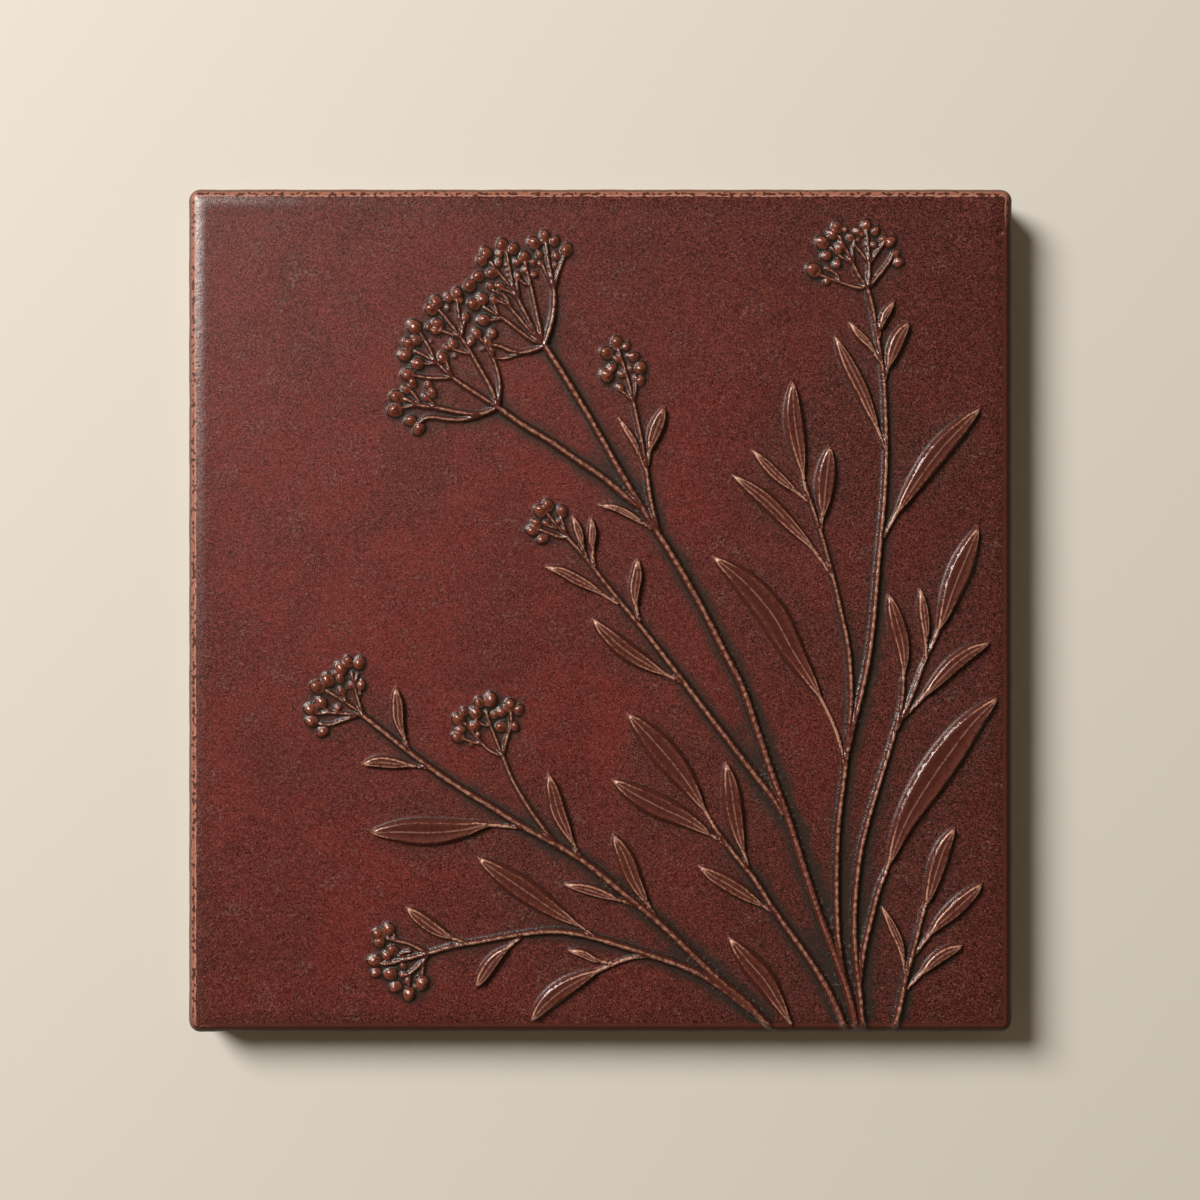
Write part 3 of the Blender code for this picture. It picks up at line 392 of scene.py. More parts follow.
            (-25.0, -18.3, 0.8), (-26.1, -19.7, 1.15), (-25.7, -21.6, 0.9), (-26.1, -22.9, 1.1),
            (-18.2, -18.3, 0.95), (-19.4, -18.9, 0.8), (-18.2, -21.1, 1.05), (-15.9, -21.0, 0.95),
            (-23.2, -21.0, 1.0), (-23.6, -24.2, 0.6), (-49.8, -14.7, 0.5), (-22.5, -22.5, 0.6),
            (-20.7, -19.2, 0.5),
        ],
    },
    "trailing_spray": {
        "stems": [
            (0.4, 0.6, [(-31.6, -62.4), (-26.9, -61.1), (-21.9, -60.2), (-15.1, -59.0),
                (-9.0, -58.4), (-3.5, -59.0), (2.0, -60.5), (9.2, -62.8), (15.0, -64.8),
                (20.3, -67.5), (27.2, -72.6)]),
            (0.35, 0.35, [(-38.9, -59.6), (-37.2, -60.1), (-34.8, -60.7), (-31.4, -62.4)]),
            (0.35, 0.4, [(-40.0, -64.3), (-38.0, -64.1), (-33.6, -62.9), (-31.4, -62.4)]),
            (0.35, 0.35, [(-36.2, -66.4), (-34.8, -66.0), (-33.0, -64.4), (-31.4, -62.6)]),
            (0.3, 0.35, [(-32.7, -66.8), (-32.5, -65.6), (-32.3, -63.6)]),
            (0.3, 0.3, [(-35.1, -69.0), (-34.8, -66.0)]),
            (0.25, 0.3, [(-37.2, -60.0), (-37.5, -59.6), (-37.7, -59.1)]),
            (0.25, 0.3, [(-36.9, -62.9), (-36.0, -63.1), (-35.1, -63.4)]),
            (0.25, 0.3, [(-36.6, -62.5), (-35.7, -62.2), (-34.8, -62.0)]),
        ],
        "leaves": [
            (1.3, 0.85, [(-35.4, -54.0), (-32.6, -56.2), (-29.4, -58.4), (-24.9, -60.5)]),
            (2.1, 0.85, [(-22.3, -45.0), (-18.6, -47.6), (-13.6, -51.0), (-8.8, -54.3),
                (-4.2, -57.2), (-0.4, -59.9)]),
            (1.25, 0.8, [(-22.7, -68.5), (-21.1, -65.9), (-18.9, -63.0), (-14.6, -59.4)]),
            (1.75, 0.62, [(-12.6, -74.6), (-10.4, -71.8), (-7.0, -69.0), (-3.0, -66.7),
                (1.0, -64.9), (5.0, -63.3), (9.0, -62.8)]),
            (0.7, 0.8, [(-5.8, -61.8), (-3.3, -62.4), (-0.8, -63.6), (2.4, -64.3)]),
        ],
        "buds": [
            (-38.8, -57.9, 1.1), (-40.5, -58.8, 1.1), (-40.5, -60.4, 1.0), (-38.0, -61.8, 0.95),
            (-39.2, -62.8, 0.9), (-41.4, -63.7, 1.15), (-41.1, -65.9, 0.95), (-38.5, -66.2, 1.15),
            (-36.1, -64.7, 0.7), (-36.1, -66.3, 0.7), (-37.5, -68.5, 1.1), (-35.1, -69.8, 1.2),
            (-32.7, -67.8, 1.25), (-35.3, -67.4, 0.7), (-33.9, -68.4, 0.5),
        ],
    },
    "foot_leaves": {
        "stems": [
            (0.42, 0.75, [(20.5, -39.2), (24.0, -43.9), (27.8, -48.6), (31.6, -54.5),
                (36.0, -60.6), (40.2, -66.8), (43.1, -72.4), (44.3, -75.2)]),
        ],
        "leaves": [
            (2.4, 0.85, [(5.0, -18.8), (8.5, -22.4), (12.5, -27.0), (16.0, -31.6), (21.2, -40.1)]),
            (2.1, 0.88, [(2.2, -30.8), (6.2, -33.3), (11.0, -35.8), (16.2, -38.3), (23.0, -42.7)]),
            (1.75, 0.85, [(22.8, -27.8), (23.6, -31.5), (24.2, -35.8), (25.1, -40.6),
                (27.0, -47.4)]),
            (1.45, 0.85, [(18.0, -46.6), (20.6, -48.3), (23.6, -50.0), (32.2, -55.4)]),
            (1.95, 1.0, [(23.4, -59.6), (26.7, -63.6), (29.9, -67.3), (32.4, -71.3),
                (34.6, -75.2)]),
        ],
        "buds": [],
    },
}

ROUTE_STEP = 0.5
CURVE_STEPS = 24
LEAF_STALK = 0.32
LEAF_TIP = 0.2
LEAF_LEAN = 0.85
LEAF_FULLNESS = 0.8
LEAF_SPARE = 0.12
BUD_SPARE = 1.06
STALK_UNDER_BUD = 1.9
# The routes were measured along the lit side of each form, so its middle lies a little off
# them: by all of this for a thin stem, and the other way for a thick one
OFF_LIT_LINE = (0.10, -0.08)
BUD_OFF_LIT_LINE = (0.16, -0.12)
THIN_AND_THICK_OFF = ((0.55, 0.75), (1, -0.8))
# The half widths measured on the glaze, and those of the clay under it
STEM_CARVED = ((0.25, 0.35, 0.5, 0.8), (0.3, 0.4, 0.62, 0.83))
STEM_SWELL = 0.035
# A stem that reaches the foot of the face runs on over the rim
FOOT_OF_FACE = -75.0
PAST_FOOT = 3.0


def smooth_route(points):
    """Evenly spaced places on a smooth curve that passes through every given point."""
    knots = np.array(points)
    chain = np.vstack((2 * knots[0] - knots[1], knots, 2 * knots[-1] - knots[-2]))
    t = np.linspace(0, 1, CURVE_STEPS, endpoint=False)[:, None]
    runs = [0.5 * (2 * b + (c - a) * t + (2 * a - 5 * b + 4 * c - d) * t ** 2
                   + (3 * b - a - 3 * c + d) * t ** 3)
            for a, b, c, d in zip(chain, chain[1:], chain[2:], chain[3:])]
    fine = np.vstack(runs + [knots[-1:]])
    lengths = np.append(0, np.cumsum(np.hypot(*np.diff(fine, axis=0).T)))
    wanted = np.linspace(0, lengths[-1], max(4, round(lengths[-1] / ROUTE_STEP) + 1))
    return np.column_stack([np.interp(wanted, lengths, fine[:, n]) for n in (0, 1)])


ridges = []  # (line of places, half width at each place, whether it is a leaf)
buds = []    # (x, y, radius, angle that it points along)
for sprig in SPRIGS.values():
    stalks = []
    for top_half, foot_half, route in sprig["stems"]:
        if route[-1][1] < FOOT_OF_FACE:
            (x, y), (end_x, end_y) = route[-2:]
            slant = (end_x - x) / (end_y - y)
            route = route + [(end_x - slant * PAST_FOOT, end_y - PAST_FOOT)]
        line = smooth_route(route)
        halves = np.linspace(top_half, foot_half, len(line))
        line = line + np.outer(np.interp(halves, *THIN_AND_THICK_OFF), OFF_LIT_LINE)
        halves = np.interp(halves, *STEM_CARVED)
        # A hand-carved stem swells and narrows a little along its way
        swell = np.sin(line[:, 0] * 2.3 + line[:, 1] * 1.7) + np.sin(line[:, 1] * 3.9 - line[:, 0])
        ridges.append((line, halves * (1 + STEM_SWELL * swell), False))
        stalks.append(line)
    for half, blade, route in sprig["leaves"]:
        line = smooth_route(route) + OFF_LIT_LINE
        along = np.minimum(np.linspace(0, 1, len(line)) / blade, 1)
        blade_width = np.abs(np.sin(np.pi * along ** LEAF_LEAN)) ** LEAF_FULLNESS
        halves = (half + LEAF_SPARE) * blade_width
        halves = np.maximum(halves, np.where(along < 0.5, LEAF_TIP, LEAF_STALK))
        ridges.append((line, halves, True))
    for bud_x, bud_y, radius in sprig["buds"]:
        bud_x, bud_y = bud_x + BUD_OFF_LIT_LINE[0], bud_y + BUD_OFF_LIT_LINE[1]
        # A bud points away from the stalk that it sits on, a little below the stalk's top
        stalk = min(stalks, key=lambda line: math.hypot(line[0][0] - bud_x, line[0][1] - bud_y))
        root_x, root_y = stalk[min(round(STALK_UNDER_BUD / ROUTE_STEP), len(stalk) - 1)]
        buds.append((bud_x, bud_y, radius * BUD_SPARE,
                     math.atan2(bud_y - root_y, bud_x - root_x)))

CELL = 3.0
CELL_ROW = 1000
STEM_RISE = 1.45
STEM_HIGHEST = 1.12
STEM_ROUND = 2.5
LEAF_RISE = 1.02
LEAF_STARTS, LEAF_FULL = 0.25, 0.9
LEAF_EDGE = 0.78
LEAF_EDGE_SHARE = 0.4
LEAF_HOLLOW = 0.2
LEAF_DEEPEST = 0.34
LEAF_HOLLOW_BEND = 1.08
LEAF_ROLL = 1.6
VEIN_HALF = 0.28
VEIN_RISE = 0.15
VEIN_FULL = 0.6
BUD_RISE = 0.64
BUD_ROUND = 0.88
BUD_LEAN = 0.5
BUD_TURN = 7
BUD_LONG, BUD_WIDE = 1.14, 0.95
BUD_EGG = 0.16
BUD_CREASE, CREASE_AT, CREASE_WIDTH = 0.1, -0.5, 0.13
BUD_FOOT_SLOPE = 3
BUD_EDGE = 0.3
CARVING_MERGE = 0.1
BUD_MERGE = 0.05
GLAZE_REACH = 0.75
STEM_GLAZE_CLIMB = 0.2
LEAF_GLAZE_CLIMB = 0.1
BUD_GLAZE_REACH = 0.55
BUD_GLAZE_CLIMB = 0.13
RIPPLE, RIPPLE_FULL = 0.011, 0.5
RIPPLES = ((6.1, 2.3, 0), (-3.9, 4.7, 1), (1.9, 7.3, 0))  # (radians per mm across and up, start)
RIM_FADE_FROM, RIM_FADE_OVER = 0.1, 2.6


def sort_by_cell(x, y):
    """The places in each small square of the face, so that only those near a line are tried."""
    keys = np.floor(x / CELL).astype(int) * CELL_ROW + np.floor(y / CELL).astype(int)
    order = np.argsort(keys, kind="stable")
    names, starts = np.unique(keys[order], return_index=True)
    return dict(zip(names.tolist(), np.split(order, starts[1:])))


def near_line(cells, line, reach):
    """The places in the squares that lie within reach of the line."""
    wanted = set()
    for x, y in line:
        for column in range(math.floor((x - reach) / CELL), math.floor((x + reach) / CELL) + 1):
            for row in range(math.floor((y - reach) / CELL), math.floor((y + reach) / CELL) + 1):
                wanted.add(column * CELL_ROW + row)
    found = [cells[key] for key in sorted(wanted) if key in cells]
    return np.concatenate(found) if found else np.zeros(0, int)


def beside_line(line, x, y):
    """How far each place lies from the line, and which step of the line it is beside."""
    run = np.diff(line, axis=0)
    from_x, from_y = x[:, None] - line[None, :-1, 0], y[:, None] - line[None, :-1, 1]
    share = (from_x * run[:, 0] + from_y * run[:, 1]) / (run ** 2).sum(axis=1)
    share = np.clip(share, 0, 1)
    away = (from_x - share * run[:, 0]) ** 2 + (from_y - share * run[:, 1]) ** 2
    nearest = away.argmin(axis=1)
    rows = np.arange(len(x))
    return np.sqrt(away[rows, nearest]), nearest + share[rows, nearest]


def merge(a, b, softness):
    """The higher of two forms, with a soft hollow where they meet."""
    return np.maximum(a, b) + np.maximum(softness - np.abs(a - b), 0) ** 2 / (4 * softness)


def stem_form(away, half):
    """A round bar: its height at each place and at its crest. It has no vein."""
    tall = np.minimum(STEM_RISE * half, STEM_HIGHEST)
    return tall * (1 - (away / half) ** STEM_ROUND), tall, 0.0


def leaf_form(away, half):
    """A shallow hollow blade with a rolled edge and a thin vein raised down its middle."""
    tall = LEAF_RISE * np.clip((half + LEAF_STARTS) / LEAF_FULL, 0, 1)
    edge_width = np.minimum(LEAF_EDGE, LEAF_EDGE_SHARE * half)
    crest = half - edge_width
    rolled = tall * (1 - np.maximum((away - crest) / edge_width, 0) ** LEAF_ROLL)
    across = np.clip(away / crest, 0, 1)
    hollow = np.minimum(LEAF_HOLLOW * crest, LEAF_DEEPEST) * (1 - across ** LEAF_HOLLOW_BEND)
    vein = np.clip(crest / VEIN_FULL, 0, 1) * np.maximum(1 - (away / VEIN_HALF) ** 2, 0)
    return rolled - hollow + VEIN_RISE * vein, tall, vein


def bud_form(x, y, radius, angle):
    """An egg-shaped bud with a crease above its cup, and how far off its edge each place is."""
    along = (x * math.cos(angle) + y * math.sin(angle)) / (BUD_LONG * radius)
    across = (y * math.cos(angle) - x * math.sin(angle)) / (BUD_WIDE * radius)
    away = np.hypot(along, across * (1 + BUD_EGG * along))
    tall = BUD_RISE * radius
    crease = BUD_CREASE * radius * np.exp(-((along - CREASE_AT) / CREASE_WIDTH) ** 2)
    # Each bud is fullest on a side of its own
    fullest = BUD_TURN * angle
    lean = 1 + BUD_LEAN * (along * math.cos(fullest) + across * math.sin(fullest))
    over = tall * lean * np.maximum(1 - away ** 2, 0) ** BUD_ROUND
    foot = tall * (1 - away) * BUD_FOOT_SLOPE
    return np.where(away < 1, over - crease, foot), (away - 1) * radius


def relief(x, y):
    """How far the sprigs stand over the face at each place, and how high the glaze climbs them.

    It also gives how far off the edge of the nearest form a place is, and a mark that is up to 1
    along a vein and down to -1 on a bud.
    """
    height, edge = np.full(x.shape, -3.0), np.full(x.shape, 9.0)
    glaze, veins = np.zeros(x.shape), np.zeros(x.shape)
    cells = sort_by_cell(x, y)
    for line, halves, is_leaf in ridges:
        near = near_line(cells, line, halves.max() + GLAZE_REACH)
        if len(near):
            away, spot = beside_line(line, x[near], y[near])
            half = np.interp(spot, np.arange(len(halves)), halves)
            form, tall, vein = (leaf_form if is_leaf else stem_form)(away, half)
            share = LEAF_GLAZE_CLIMB if is_leaf else STEM_GLAZE_CLIMB
            climb = share * tall * np.clip(1 - (away - half) / GLAZE_REACH, 0, 1) ** 3
            height[near] = merge(height[near], form, CARVING_MERGE)
            glaze[near] = np.maximum(glaze[near], climb)
            edge[near] = np.minimum(edge[near], away - half)
            veins[near] = np.maximum(veins[near], vein)
    for bud_x, bud_y, radius, angle in buds:
        near = near_line(cells, [(bud_x, bud_y)], BUD_LONG * radius + BUD_GLAZE_REACH)
        if len(near):
            form, off_bud = bud_form(x[near] - bud_x, y[near] - bud_y, radius, angle)
            climb = BUD_GLAZE_CLIMB * radius * np.clip(1 - off_bud / BUD_GLAZE_REACH, 0, 1) ** 3
            height[near] = merge(height[near], form, BUD_MERGE)
            glaze[near] = np.maximum(glaze[near], climb)
            edge[near] = np.minimum(edge[near], off_bud)
            veins[near] = np.minimum(veins[near], np.clip(off_bud / BUD_EDGE, -1, 0))
    height = merge(height, glaze, CARVING_MERGE)
    ripple = RIPPLE * sum(np.sin(across * x + up * y + start) for across, up, start in RIPPLES)
    return height + ripple * np.clip(height / RIPPLE_FULL, 0, 1), glaze, edge, veins


def tile_height(x, y):
    """The sprigs on the face. They die away where they run over the rounded rim."""
    raised, glaze, _, veins = relief(x, y)
    onto_face = np.clip((rim_distance(x, y) - RIM_FADE_FROM) / RIM_FADE_OVER, 0, 1)
    raised = raised * onto_face ** 2 * (3 - 2 * onto_face)
    glaze = glaze * onto_face
    return blank_height(x, y) + raised, raised, glaze, veins


# ---------------------------------------------------------------------------------------
# The pressed face: one skin of fired clay over the rim, the ground and the sprigs. Its points
# lie along the crests, sides and feet of every stem, leaf and bud, and far apart on the bare
# ground, so the carving stays crisp.

SKIRTS = (0.09, 0.2, 0.35, 0.55, 0.85)
STEM_ROWS = (0.28, 0.6, 0.88)
WIDE_LEAF = 0.85
BUD_ROWS = ((0, 1), (0.28, 6), (0.52, 10), (0.74, 13), (0.93, 16))  # (share of radius, points)
BUD_FOOT_POINTS = 16
GROUND_STEP = 2.1
ROW_STEP = 0.87 * GROUND_STEP
CLEAR_OF_SPRIGS = 1.6
CLEAR_OF_RIM = 4.2
RIM_INSETS = (0.03, 0.1, 0.22, 0.38, 0.58, 0.82, 1.0, 1.18, 1.35, 1.62, 2.0, 2.6, 3.3, 4.2)
CAP_ANGLES = (-75, -50, -25, 0, 25, 50, 75)
CLOSEST = 0.15


def across_ridge(half, is_leaf):
    """How far off its middle line a stem or leaf needs points."""
    if is_leaf and half > WIDE_LEAF:
        crest = half - min(LEAF_EDGE, LEAF_EDGE_SHARE * half)
        body = (VEIN_HALF, VEIN_HALF + 0.5 * (crest - VEIN_HALF), crest - 0.2, crest,
                crest + 0.15, half - 0.2, half - 0.06)
    else:
        body = tuple(row * half for row in STEM_ROWS)
    return body + tuple(half + skirt for skirt in SKIRTS)


def ridge_places(line, halves, is_leaf):
    """The crest of a stem or leaf, the rows beside it and the round caps at its two ends."""
    heading = np.gradient(line, axis=0)
    heading /= np.hypot(*heading.T)[:, None]
    crest, beside = [tuple(p) for p in line], []
    for place, (head_x, head_y), half in zip(line, heading, halves):
        for away in across_ridge(half, is_leaf):
            for side in (-1, 1):
                beside.append((place[0] - side * head_y * away, place[1] + side * head_x * away))
    for end, sign in ((0, -1), (-1, 1)):
        for away in across_ridge(halves[end], is_leaf):
            for angle in CAP_ANGLES:
                turn = math.atan2(sign * heading[end][1], sign * heading[end][0])
                turn += math.radians(angle)
                beside.append((line[end][0] + away * math.cos(turn),
                               line[end][1] + away * math.sin(turn)))
    return crest, beside


def bud_places(bud_x, bud_y, radius, angle):
    """Rings of places over an egg-shaped bud and round its foot."""
    rings = [(share, 0, count) for share, count in BUD_ROWS]
    rings += [(1, skirt, BUD_FOOT_POINTS) for skirt in SKIRTS]
    found = []
    for row, (share, skirt, count) in enumerate(rings):
        for n in range(count):
            turn = 2 * math.pi * (n + 0.5 * (row % 2)) / count
            along = (share * BUD_LONG * radius + skirt) * math.cos(turn)
            across = (share * BUD_WIDE * radius + skirt) * math.sin(turn)
            found.append((bud_x + along * math.cos(angle) - across * math.sin(angle),
                          bud_y + along * math.sin(angle) + across * math.cos(angle)))
    return found


def thin_out(groups, gap):
    """Keeps each place that lies no closer than the gap to one that is kept before it."""
    taken, kept = {}, []
    for places in groups:
        for x, y in places:
            column, row = math.floor(x / gap), math.floor(y / gap)
            rivals = [p for c in (-1, 0, 1) for r in (-1, 0, 1)
                      for p in taken.get((column + c, row + r), ())]
            if all(math.hypot(x - px, y - py) >= gap for px, py in rivals):
                taken.setdefault((column, row), []).append((x, y))
                kept.append((x, y))
    return kept


rim = outline()
crests, sides, bud_rings = [], [], []
for ridge in ridges:
    crest, beside = ridge_places(*ridge)
    crests += crest
    sides += beside
for bud in buds:
    bud_rings += bud_places(*bud)
for mark_x, mark_y, radius, _ in FACE_MARKS:
    sides += bud_places(mark_x, mark_y, radius, 0)
rim_rows = rim[:, :2].tolist()
for inset in RIM_INSETS:
    row = rim[:, :2] - inset * rim[:, 2:]
    rim_rows += row[np.abs(rim_distance(*row.T) - inset) < 0.01].tolist()
# Rounded, so that the last digit of a sum never decides which of two close places is kept
relief_places = np.round(np.array(bud_rings + crests + sides), 6)
relief_places = relief_places[rim_distance(*relief_places.T) > RIM_ROUND_WIDTH]
ground = np.array([(x + GROUND_STEP / 2 * (row % 2), y) for row, y in
                   enumerate(np.arange(-TILE_HEIGHT / 2, TILE_HEIGHT / 2, ROW_STEP))
                   for x in np.arange(-TILE_WIDTH / 2, TILE_WIDTH / 2, GROUND_STEP)])
clear = (relief(*ground.T)[2] > CLEAR_OF_SPRIGS) & (rim_distance(*ground.T) > CLEAR_OF_RIM)
places = rim_rows + thin_out([relief_places.tolist(), ground[clear].tolist()], CLOSEST)

loop = [(n, (n + 1) % len(rim)) for n in range(len(rim))]
flat, _, triangles, _, _, _ = delaunay_2d_cdt([Vector(p) for p in places], loop, [], 1, 1e-5)
flat = np.array([(p.x, p.y) for p in flat])
height, raised, climb, veins = tile_height(*flat.T)

# The pressed edge was never quite straight: here and there it lies in by a hair's breadth
EDGE_WANDER, WANDER_FREE = 0.03, 1.2
WANDER_WIDTH = 3.0
WANDERS = ((1.0, 0.41, 1.3), (0.7, 0.93, 0), (0.5, 2.1, 0))  # (size, radians per mm, start)
wandered = flat.copy()
for side, other, half_size in ((0, 1, TILE_WIDTH / 2), (1, 0, TILE_HEIGHT / 2)):
    along = flat[:, other]
    wander = sum(size * np.sin(turns * along + start) for size, turns, start in WANDERS)
    wander = np.minimum(wander - WANDER_FREE, 0)
    near_side = np.clip(1 - (half_size - np.abs(flat[:, side])) / WANDER_WIDTH, 0, 1)
    wandered[:, side] += EDGE_WANDER * wander * near_side ** 2 * np.sign(flat[:, side])
tile_mesh = bpy.data.meshes.new("wildflower_tile")
tile_mesh.from_pydata(np.column_stack((wandered, height)) * MM, [], triangles)

# ---------------------------------------------------------------------------------------
# How thick the molten glaze lay: it ran off every crest, so the copper brown of the clay body
# comes through there, and collected beside the stems, where it fired almost black. The dark
# beside the thicker stems and among close sprigs is partly painted shade as well.

RASTER = 0.2
FINE_SPREAD = 0.3
SHADE_SPREAD = 1.15
CROWD_SPREAD = 4.5
THICK_GLAZE = 0.072
# How far the painted shade beside the stems is shifted to the side turned from the lamp
POOL_SHIFT_FROM_LAMP = 0.36


def blurred(picture, spread):
    """The picture with each place shared out over its surroundings."""
    up, across = (np.fft.fftfreq(picture.shape[0])[:, None], np.fft.rfftfreq(picture.shape[1]))
    softening = np.exp(-2 * (np.pi * spread / RASTER) ** 2 * (across ** 2 + up ** 2))
    return np.fft.irfft2(np.fft.rfft2(picture) * softening, picture.shape)


def read_off(picture, x, y):
    """The picture's value at each place, between its own samples."""
    column = np.clip((x + TILE_WIDTH / 2) / RASTER, 0, picture.shape[1] - 1.001)
    row = np.clip((y + TILE_HEIGHT / 2) / RASTER, 0, picture.shape[0] - 1.001)
    c, r = column.astype(int), row.astype(int)
    across, up = column - c, row - r
    return ((picture[r, c] * (1 - across) + picture[r, c + 1] * across) * (1 - up)
            + (picture[r + 1, c] * (1 - across) + picture[r + 1, c + 1] * across) * up)


grid_x, grid_y = np.meshgrid(np.arange(-TILE_WIDTH / 2, TILE_WIDTH / 2 + RASTER, RASTER),
                             np.arange(-TILE_HEIGHT / 2, TILE_HEIGHT / 2 + RASTER, RASTER))
_, grid_raised, grid_climb, _ = tile_height(grid_x.ravel(), grid_y.ravel())
grid_raised, grid_climb = grid_raised.reshape(grid_x.shape), grid_climb.reshape(grid_x.shape)
# Pooled glaze beside the thicker stems, partly painted shade: it is read off towards the lamp, so
# it lies further over on the side turned from it
pool_and_shade_by_stems = blurred(np.maximum(grid_climb - THICK_GLAZE, 0), SHADE_SPREAD)
x, y = flat.T
glaze_lay = {
    "raised": raised,
    "hollow": read_off(blurred(grid_raised, FINE_SPREAD), x, y) - raised,
    "climb": climb,
    "vein": veins,
    "pool_and_shade": read_off(pool_and_shade_by_stems, x - POOL_SHIFT_FROM_LAMP, y + POOL_SHIFT_FROM_LAMP),
    # Painted shade as well as pooled glaze: darker where sprigs stand close together
    "pool_and_shade_among_sprigs": read_off(blurred(grid_raised, CROWD_SPREAD), x, y),
    "inside": rim_distance(x, y),
}
for name, values in glaze_lay.items():
    tile_mesh.attributes.new(name, "FLOAT", "POINT").data.foreach_set("value", values)

tile = bpy.data.objects.new("wildflower_tile", tile_mesh)
bpy.context.collection.objects.link(tile)
bpy.context.view_layer.objects.active = tile
tile.select_set(True)

# ---------------------------------------------------------------------------------------
# The sides and the back: the clay was trimmed square under the rim. The glaze was wiped off
# above the back, so that the tile would not stick to the kiln shelf.

SIDE_STEPS = (  # (height over the back, how far in from the outline)
    (6.4, 0.02), (4.6, 0.02), (3.0, 0.01), (2.3, 0.0), (2.0, 0.05), (1.9, 0.16),
    (0.9, 0.18), (0.4, 0.22), (0.12, 0.38), (0.0, 0.64),
)
GLAZE_LINE = 1.95

bpy.ops.object.mode_set(mode="EDIT")
bpy.ops.mesh.select_mode(type="EDGE")
bpy.ops.mesh.select_all(action="SELECT")
bpy.ops.mesh.region_to_loop()
last_in = 0.0
for level, inward in SIDE_STEPS:
    bpy.ops.mesh.extrude_edges_move()
    bpy.ops.transform.resize(value=(1 - 2 * (inward - last_in) / TILE_WIDTH,
                                    1 - 2 * (inward - last_in) / TILE_HEIGHT, 0),
                             center_override=(0, 0, level * MM))
    last_in = inward
bpy.ops.mesh.edge_face_add()
bpy.ops.mesh.select_all(action="SELECT")
bpy.ops.mesh.normals_make_consistent(inside=False)
bpy.ops.object.mode_set(mode="OBJECT")
bpy.ops.object.shade_smooth()


def linear(hex_colour):
    """An sRGB hex value as the linear colour that a shader takes."""
    levels = [int(hex_colour[n:n + 2], 16) / 255 for n in (1, 3, 5)]
    return [v / 12.92 if v <= 0.04045 else ((v + 0.055) / 1.055) ** 2.4 for v in levels] + [1.0]


def add_node(tree, kind, inputs, output=None, **settings):
    """Adds a node with its settings and links, and gives the output that is asked for."""
    node = tree.nodes.new(kind)
    for name, value in settings.items():
        setattr(node, name, value)
    for name, value in inputs.items():
        socket = (node.inputs[name] if isinstance(name, int)
                  else next(s for s in node.inputs if s.enabled and s.name == name))
        if isinstance(value, bpy.types.NodeSocket):
            tree.links.new(value, socket)
        else:
            socket.default_value = linear(value) if isinstance(value, str) else value
    return node.outputs[output] if output else next(s for s in node.outputs if s.enabled)


def lay_colours(tree, colour, layers):
    """Lays each colour over those before it, as much as what it follows says at each place."""
    for follows, start, full, most, hue in layers:
        share = add_node(tree, "ShaderNodeMapRange",
                         {"Value": follows, "From Min": start, "From Max": full, "To Max": most},
                         interpolation_type="SMOOTHSTEP")
        colour = add_node(tree, "ShaderNodeMix", {"Factor": share, "A": colour, "B": hue},
                          data_type="RGBA")
    return colour


# Oxblood glaze on stoneware, dipped and fired in a smoky kiln. Its copper turned red, with brown
# and near-black clouds. The skin is satin and grained like orange peel, glassier where it lay
# thick. Its finest grain is under 0.2 mm wide, and is drawn this coarse so that it shows.
GRAIN_SIZE = 0.29
FLECK_SIZE = 1.2
MOTTLE_SIZE = 4.5
CLOUD_SIZE = 17.0
BEAD_SIZE = 0.58
PIT_SIZE = 0.9
REDDEST_PLACE = (-40.0, 2.0, 10.0)
DOWN_TO_THE_RIGHT, TO_THE_LEFT = (1.0, -1.0, 0.0), (-1.0, 0.0, 0.0)
RAGGEDNESS = 0.7
COPPER_BAND = 1.35
BREAK_LINE = 2.1
PALEST_GRAIN = 0.35
GLOSSIEST = 0.19
GLAZE_IOR = 1.54

oxblood = bpy.data.materials.new("oxblood_satin_glaze")
oxblood.use_nodes = True
tree = oxblood.node_tree
shader = tree.nodes["Principled BSDF"]
place = add_node(tree, "ShaderNodeTexCoord", {}, "Object")
mm = add_node(tree, "ShaderNodeMapping", {"Vector": place, "Scale": (1 / MM, 1 / MM, 1 / MM)})
grain, flecks, mottle, clouds, pits, beads = (
    add_node(tree, "ShaderNodeTexNoise", {"Vector": mm, "Scale": 1 / size, "Detail": detail,
                                          "Roughness": roughness, "Distortion": distortion})
    for size, detail, roughness, distortion in (
        (GRAIN_SIZE, 2.0, 0.6, 2.0), (FLECK_SIZE, 2.0, 0.6, 0.3), (MOTTLE_SIZE, 3.0, 0.6, 0.4),
        (CLOUD_SIZE, 3.0, 0.55, 0.6), (PIT_SIZE, 1.0, 0.5, 0.0), (BEAD_SIZE, 1.0, 0.5, 0.0)))
raised_here, hollow, climb, vein, pool_and_shade, pool_and_shade_among_sprigs, inside = (
    add_node(tree, "ShaderNodeAttribute", {}, "Fac", attribute_name=name) for name in glaze_lay)

# The glaze is darker the further a place lies from the reddest one, left of the middle, and
# darkest towards the right. The edge of the rim's bands is ragged.
far_from_reddest, down_right, leftward = (
    add_node(tree, "ShaderNodeVectorMath", {0: mm, 1: other}, "Value", operation=operation)
    for other, operation in ((REDDEST_PLACE, "DISTANCE"), (DOWN_TO_THE_RIGHT, "DOT_PRODUCT"),
                             (TO_THE_LEFT, "DOT_PRODUCT")))
ragged = add_node(tree, "ShaderNodeMath", {0: flecks, 1: RAGGEDNESS, 2: inside},
                  operation="MULTIPLY_ADD")
